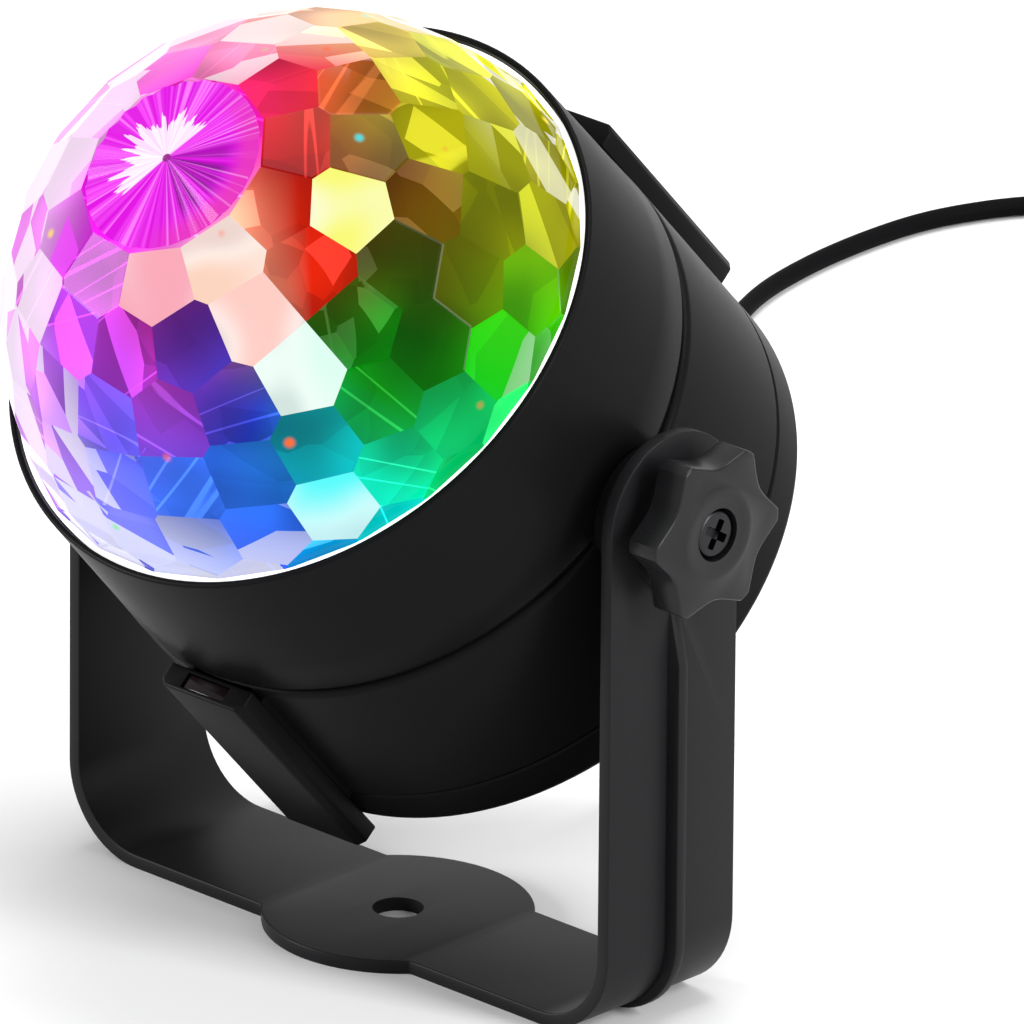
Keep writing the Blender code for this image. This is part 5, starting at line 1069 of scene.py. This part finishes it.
ball = faceted_ball()
for height, direction in ((dome_rim, (0, 0, -1)), (crown_plane, (0, 0, 1))):
    bmesh.ops.bisect_plane(ball, geom=ball.verts[:] + ball.edges[:] + ball.faces[:], plane_co=(0, 0, height),
                           plane_no=direction, clear_outer=True)
for vert in ball.verts:
    if vert.co.z < dome_rim + close_by / 10:
        flare = (ring_inner - close_by) / math.hypot(vert.co.x, vert.co.y)
        vert.co.x *= flare
        vert.co.y *= flare
top_edges = [edge for edge in ball.edges
             if edge.is_boundary and min(vert.co.z for vert in edge.verts) > crown_plane - close_by]
bmesh.ops.edgeloop_fill(ball, edges=top_edges)
bmesh.ops.recalc_face_normals(ball, faces=ball.faces)
luck = random.Random(11)
facet_luck = ball.faces.layers.float_vector.new("facet_luck")
facet_middle = ball.faces.layers.float_vector.new("facet_middle")
facet_painted_highlight = ball.faces.layers.float_vector.new("facet_painted_highlight")
facet_lit = ball.faces.layers.float.new("facet_lit")
for face in ball.faces:
    face[facet_luck] = (luck.random(), luck.random(), luck.random())
    face[facet_middle] = head_place @ face.calc_center_median()
    face[facet_lit] = 0.0
for across, along, colour in full_facets:
    toward = math.sqrt(1 - across**2 - along**2)
    aim = glow_middle + dome_radius * (glow_right * across + glow_up * along + glow_front * toward)
    nearest = min(ball.faces, key=lambda face: (Vector(face[facet_middle]) - aim).length)
    nearest[facet_painted_highlight] = screen(*colour)[:3]
    nearest[facet_lit] = 1.0
dome_mesh = bpy.data.meshes.new("dome_facets")
ball.to_mesh(dome_mesh)
ball.free()
dome = put_in("dome_facets", dome_mesh)
bpy.ops.object.mode_set(mode="EDIT")
bpy.ops.mesh.select_mode(type="EDGE")
bpy.ops.mesh.select_all(action="SELECT")
bpy.ops.mesh.region_to_loop()
bpy.ops.mesh.select_all(action="INVERT")
bpy.ops.mesh.bevel(offset=facet_bevel, segments=2, affect="EDGES", material=1)
bpy.ops.mesh.select_mode(type="VERT")
bpy.ops.object.mode_set(mode="OBJECT")
thick = dome.modifiers.new("thick", "SOLIDIFY")
thick.thickness = dome_wall
thick.offset = -1.0
bpy.ops.object.modifier_apply(modifier=thick.name)
dome.matrix_world = head_place
bpy.ops.object.transform_apply(location=True, rotation=True, scale=True)
bpy.ops.object.shade_flat()

white = (1.0, 1.0, 1.0, 1.0)
black = (0.0, 0.0, 0.0, 1.0)
painted_edge_white = (1.0, 1.0, 0.94, 1.0)
acrylic_ior = 1.49
# Each ring's painted light colours take over from those inside it between two turns away from the glow's front
glow_rings = ((0.20, 0.34, middle_colours), (0.48, 0.74, wide_colours), (0.86, 1.04, rim_colours))
# The colours of the sparks, small painted glints, each from its place on the ramp
spark_colours = ((0.0, (30, 235, 235)), (0.30, (255, 110, 60)), (0.55, (120, 240, 90)), (0.75, (255, 225, 60)))


def ramp(look, colours, share, kind="LINEAR"):
    """Colours by their share of the way round."""
    step = look.tree.nodes.new("ShaderNodeValToRGB")
    look.fill(step, Fac=share)
    stops = step.color_ramp.elements
    step.color_ramp.interpolation = kind
    while len(stops) < len(colours):
        stops.new(0.5)
    for stop, (place, colour) in zip(stops, colours):
        stop.position = place
    for stop, (place, colour) in zip(stops, colours):
        stop.color = screen(*colour)
    return step.outputs["Color"]


def painted_glow(look, colour, glow, roughness, specular):
    """Acrylic painted with the light inside it: an emission in its own colours, under a thin clear gloss."""
    return look.shade(Emission_Color=colour, Emission_Strength=glow, Base_Color=look.mixed(glow, colour, black),
                      Roughness=roughness, IOR=acrylic_ior, Specular_IOR_Level=specular)


def dome_look(name, edge):
    """Clear acrylic full of painted coloured light: rings of painted colour, broken up facet by facet into painted
    streaks.
    """
    look = Finish(bpy.data.materials.new(name))
    number, vector, scaled, spread, mixed = look.number, look.vector, look.scaled, look.spread, look.mixed
    place = look.place()
    own = look.node("Attribute", "Vector", attribute_name="facet_luck")
    centre = look.node("Attribute", "Vector", attribute_name="facet_middle")
    # A facet's own pattern: its place shifted a little, and a turned place for its streaks
    shift = scaled(vector("SUBTRACT", own, (0.5, 0.5, 0.5)), 0.008)
    blended = vector("ADD", scaled(place, 0.45), scaled(centre, 0.55))
    turned = look.node("VectorRotate", "Vector", rotation_type="EULER_XYZ",
                       Vector=vector("SUBTRACT", place, centre), Rotation=scaled(own, 6.0))
    local = vector("ADD", turned, scaled(own, 0.4))
    arm = scaled(vector("SUBTRACT", vector("ADD", blended, shift), tuple(glow_middle)), 1 / dome_radius)
    across, along, facing = [vector("DOT_PRODUCT", arm, tuple(way))
                             for way in (glow_right, glow_up, glow_front)]
    # Where it lies: its share of the way round the glow, and its turn away from the glow's front
    share = number("MULTIPLY_ADD", number("ARCTAN2", along, across), 1 / math.tau, 0.5)
    flat = number("SQRT", number("ADD", number("MULTIPLY", across, across), number("MULTIPLY", along, along)))
    turn = number("ARCTAN2", flat, facing)
    outward = spread(turn, 0.78, 1.02)
    colour = ramp(look, heart_colours, share)
    for start, end, colours in glow_rings:
        colour = mixed(spread(turn, start, end), colour, ramp(look, colours, share))
    # Shards: painted light and shade for the inside's facets seen through the outside's, longer the further round
    # they lie
    shard_place = look.node("CombineXYZ", "Vector", X=number("MULTIPLY", turn, 17.0),
                            Y=number("MULTIPLY", share, 26.0))
    shards = look.node("TexVoronoi", "Color", Vector=vector("ADD", shard_place, own), Scale=1.0)
    shard = look.node("SeparateColor", Color=shards)
    soft = look.noise(local, 75.0, detail=0.0, distortion=0.2)
    deep = number("MULTIPLY", spread(soft, 0.30, 0.68, 0.62, 1.20),
                  number("MULTIPLY_ADD", shard["Green"], 0.34, 0.80))
    grey = look.node("CombineColor", "Color", Red=deep, Green=deep, Blue=deep)
    colour = mixed(1.0, colour, grey, "MULTIPLY")
    pale = mixed(0.03, mixed(1.0, colour, (2.2, 2.2, 2.2, 1.0), "MULTIPLY"), white)
    # Streaks: thin painted highlight lines down the middle of a drawn-out noise, on about half the facets
    bands = look.noise(vector("MULTIPLY", local, (1.0, 0.04, 0.06)), 210.0, detail=0.5)
    off_line = number("ABSOLUTE", number("SUBTRACT", bands, 0.5))
    luck_of = look.node("SeparateXYZ", "Y", Vector=own)
    painted_streak = number("MULTIPLY", spread(off_line, 0.016, 0.008), spread(luck_of, 0.50, 0.54))
    colour = mixed(number("MULTIPLY", painted_streak, 0.75), colour, pale)
    # Pale shards, painted highlights: most of them far out, and more of them on the right than on the left
    sheer = number("MULTIPLY_ADD", number("COSINE", number("MULTIPLY", share, math.tau)), -0.20, 0.52)
    sheer = number("ADD", sheer, spread(turn, 1.45, 1.80, 0.0, 0.30))
    painted_glint_shard = number("MULTIPLY", number("GREATER_THAN", shard["Red"], sheer), outward)
    colour = mixed(painted_glint_shard, colour, mixed(0.58, colour, white))
    rare_painted_glint = number("MULTIPLY", spread(shard["Blue"], 0.90, 0.92), 0.80)
    colour = mixed(rare_painted_glint, colour, pale)
    # Full facets: a painted highlight on those that catch a light full on
    lit = look.node("Attribute", "Fac", attribute_name="facet_lit")
    painted_lit_colour = look.node("Attribute", "Color", attribute_name="facet_painted_highlight")
    painted_lit_colour = mixed(spread(soft, 0.62, 0.36, 0.0, 0.62), painted_lit_colour, (1.0, 1.0, 0.98, 1.0))
    colour = mixed(number("MULTIPLY", lit, spread(soft, 0.30, 0.44, 0.72, 0.97)), colour, painted_lit_colour)
    if edge:
        # Facet edges: painted highlight lines on some, and painted shade darkening the others
        line = spread(look.noise(place, 45.0, detail=1.0), 0.30, 0.50, 0.0, 0.80)
        colour = mixed(line, mixed(0.42, colour, black), mixed(0.35, pale, painted_edge_white))
    else:
        # Sparks: small painted glints in a few colours
        spark = look.node("TexVoronoi", Vector=place, Scale=135.0)
        hue = look.node("SeparateColor", Color=spark["Color"])
        chosen = number("GREATER_THAN", hue["Red"], 0.60)
        dot = number("MULTIPLY", spread(spark["Distance"], 0.15, 0.03), chosen)
        colour = mixed(dot, colour, ramp(look, spark_colours, hue["Green"], "CONSTANT"))
    return painted_glow(look, colour, glow=0.95, roughness=0.06, specular=0.05)


dome.data.materials.append(dome_look("lit_acrylic", edge=False))
fit(dome, dome_look("lit_acrylic_edges", edge=True), "clear_plastic", "dome", "dome")

# Crown: the dome's top is a shallow cone of fine flutes around the spindle's end.
# Its colours are painted light: painted rays stand for the light the flutes spread, pale on one side and magenta
# on the other.
flutes = 26
flute_depth = 0.0005
crown_overlap = 1.03
bpy.ops.object.select_all(action="DESELECT")
bpy.ops.mesh.primitive_cone_add(vertices=2 * flutes, radius1=crown_radius * crown_overlap, radius2=0.0,
                                depth=crown_rise, end_fill_type="NGON",
                                location=(0.0, 0.0, crown_plane + crown_rise / 2))
crown = bpy.context.object
crown.name = "dome_crown"
crown.data.name = "dome_crown"
bpy.ops.object.transform_apply(location=True, rotation=True, scale=True)
for vert in crown.data.vertices:
    if vert.co.z < crown_plane + crown_rise / 2:
        step = round(math.atan2(vert.co.y, vert.co.x) / math.tau * 2 * flutes)
        if step % 2:
            vert.co.z += flute_depth
seat(crown, head_place)
crown_middle = pivot + dome_axis * (crown_plane + crown_rise)


def crown_look():
    """Fluted acrylic in painted light: white-pink rays on one side, magenta round them, deep purple on the other
    side.
    """
    look = Finish(bpy.data.materials.new("lit_flutes"))
    number, vector, spread, mixed = look.number, look.vector, look.spread, look.mixed
    arm = vector("SUBTRACT", look.place(), tuple(crown_middle))
    across = vector("DOT_PRODUCT", arm, tuple(glow_right))
    along = vector("DOT_PRODUCT", arm, tuple(glow_up))
    angle = number("ARCTAN2", along, across)
    reach = number("DIVIDE", vector("LENGTH", arm), crown_radius)
    bearing = vector("NORMALIZE", arm)
    rays = look.noise(bearing, 7.0, detail=3.0)
    fine_rays = look.noise(bearing, 18.0, detail=1.0)

    def toward(degrees):
        """How far a place lies towards a direction on the crown, from -1 to 1."""
        return number("COSINE", number("SUBTRACT", angle, math.radians(degrees)))

    def both(first, second):
        return number("MULTIPLY", first, second)

    past_line = spread(both(toward(130.0), reach), -0.012, 0.012)
    inside_star = spread(number("SUBTRACT", number("ADD", rays, 0.08), reach), -0.01, 0.02)
    outer_pink = both(spread(reach, 0.68, 0.96), spread(toward(-25.0), 0.0, 0.8))
    sector = both(spread(toward(-35.0), 0.50, 0.92), spread(reach, 0.90, 0.60))
    star_colour = mixed(spread(fine_rays, 0.35, 0.60), screen(250, 214, 248), screen(255, 240, 254))
    colour = mixed(spread(fine_rays, 0.40, 0.62), screen(222, 20, 225), screen(246, 70, 246))
    for cover, laid_on in (
        (outer_pink, screen(228, 55, 188)),
        (both(sector, spread(rays, 0.68, 0.40)), screen(140, 0, 150)),
        (both(spread(fine_rays, 0.60, 0.70), 0.40), screen(255, 170, 250)),
        (both(past_line, inside_star), star_colour),
        (spread(reach, 0.060, 0.040), screen(150, 40, 140)),
    ):
        colour = mixed(cover, colour, laid_on)
    return painted_glow(look, colour, glow=0.92, roughness=0.14, specular=0.08)


fit(crown, crown_look(), "clear_plastic", "dome")

# Rim ring: a thin white moulding under the dome's edge that shows as a bright line inside the lip.
# It turns with the dome, and a painted glow stands for the light through it.
ring_foot = dome_rim - meeting_gap
ring_low = ring_foot - 0.0014
ring_top = dome_rim + 0.0002
ring_hole = 0.0405
ring_outer = 0.04374
ring_outline = [(ring_hole, ring_low), (ring_outer, ring_low), (ring_outer, ring_top), (ring_inner, ring_top),
                (ring_inner, ring_foot), (ring_hole, ring_foot)]
rim_ring = spin_outline("rim_ring", ring_outline, head_place, steps=160)
lit_white = plastic("lit_white", (0.85, 0.85, 0.84), 0.30, grain=900.0, depth=0.00001, uneven=0.03)
# Painted glow: an emission stands for the light through the ring
Finish(lit_white).shade(Emission_Color=(1.0, 1.0, 0.97, 1.0), Emission_Strength=0.95)
fit(rim_ring, lit_white, "white_plastic", "dome", "dome_rim_ring")

# Inside the housing: boards, lights, gears, motor and wires keep their solids, with real finishes.
# They are screwed to the deck, the drive frame and the posts, out of sight behind the dome.
finishes = {
    "aluminium": metal("board_alloy", (0.70, 0.71, 0.73), 0.38),
    "steel": zinc,
    "brass": brass,
    "board_green": plastic("solder_mask", (0.02, 0.15, 0.05), 0.35, grain=700.0),
    "chip_black": plastic("chip_resin", (0.015, 0.015, 0.016), 0.55, grain=3000.0),
    "gear_white": plastic("natural_nylon", (0.72, 0.71, 0.66), 0.42, grain=1500.0, uneven=0.05),
    "white_plastic": white_moulding,
    "black_rubber": vinyl,
}
lens_colours = {"red": (0.75, 0.05, 0.04), "green": (0.06, 0.60, 0.12), "blue": (0.06, 0.12, 0.75)}
for hue, colour in lens_colours.items():
    finishes[f"{hue}_lens"] = plastic(f"{hue}_lens_epoxy", colour, 0.12, grain=300.0, depth=0.000003)
for subpart in frame["record"]["subparts"]:
    node = frame["nodes"][subpart["node"]]
    if not node.hide_render:
        node.data.materials.clear()
        node.data.materials.append(finishes[subpart["material_slot"]])

# Table and light: a plain white table, two tall softboxes and one overhead.
# The softboxes leave the black housing's middle dark and put a soft sheen down both its sides.
bpy.ops.object.select_all(action="DESELECT")
bpy.ops.mesh.primitive_plane_add(size=12.0, location=(0.0, 0.0, 0.0))
table = bpy.context.object
table.name = "table"
paper = Finish(bpy.data.materials.new("white_paper"))
paper.shade(Base_Color=(0.90, 0.90, 0.90, 1.0), Roughness=0.9, Specular_IOR_Level=0.1)
table.data.materials.append(paper.owner)

# Each softbox: its name, place, width and height, and power
softboxes = (
    ("left_softbox", (-1.25, -1.25, 0.42), (0.40, 0.8), 30.0),
    ("right_softbox", (1.6, 0.3, 0.8), (0.35, 1.4), 30.0),
    ("overhead_softbox", (0.0, 0.3, 1.9), (1.0, 1.0), 20.0),
)
for name, place, size, power in softboxes:
    bpy.ops.object.select_all(action="DESELECT")
    bpy.ops.object.light_add(type="AREA", location=place)
    softbox = bpy.context.object
    softbox.name = name
    softbox.data.shape = "RECTANGLE"
    softbox.data.size, softbox.data.size_y = size
    softbox.data.energy = power
    softbox.rotation_euler = (pivot - Vector(place)).to_track_quat("-Z", "Y").to_euler()

world = bpy.data.worlds.new("studio")
bpy.context.scene.world = world
studio = Finish(world)
rays = studio.node("LightPath")
seen = studio.number("MAXIMUM", rays["Is Camera Ray"], rays["Is Transmission Ray"])
mirrored = studio.number("MAXIMUM", seen, rays["Is Glossy Ray"])
strength = studio.node("MapRange", "Result", To_Min=0.55, To_Max=1.0, Value=mirrored)
studio.fill(studio.tree.nodes["Background"], Color=white, Strength=strength)

bpy.context.scene.view_settings.view_transform = "Standard"
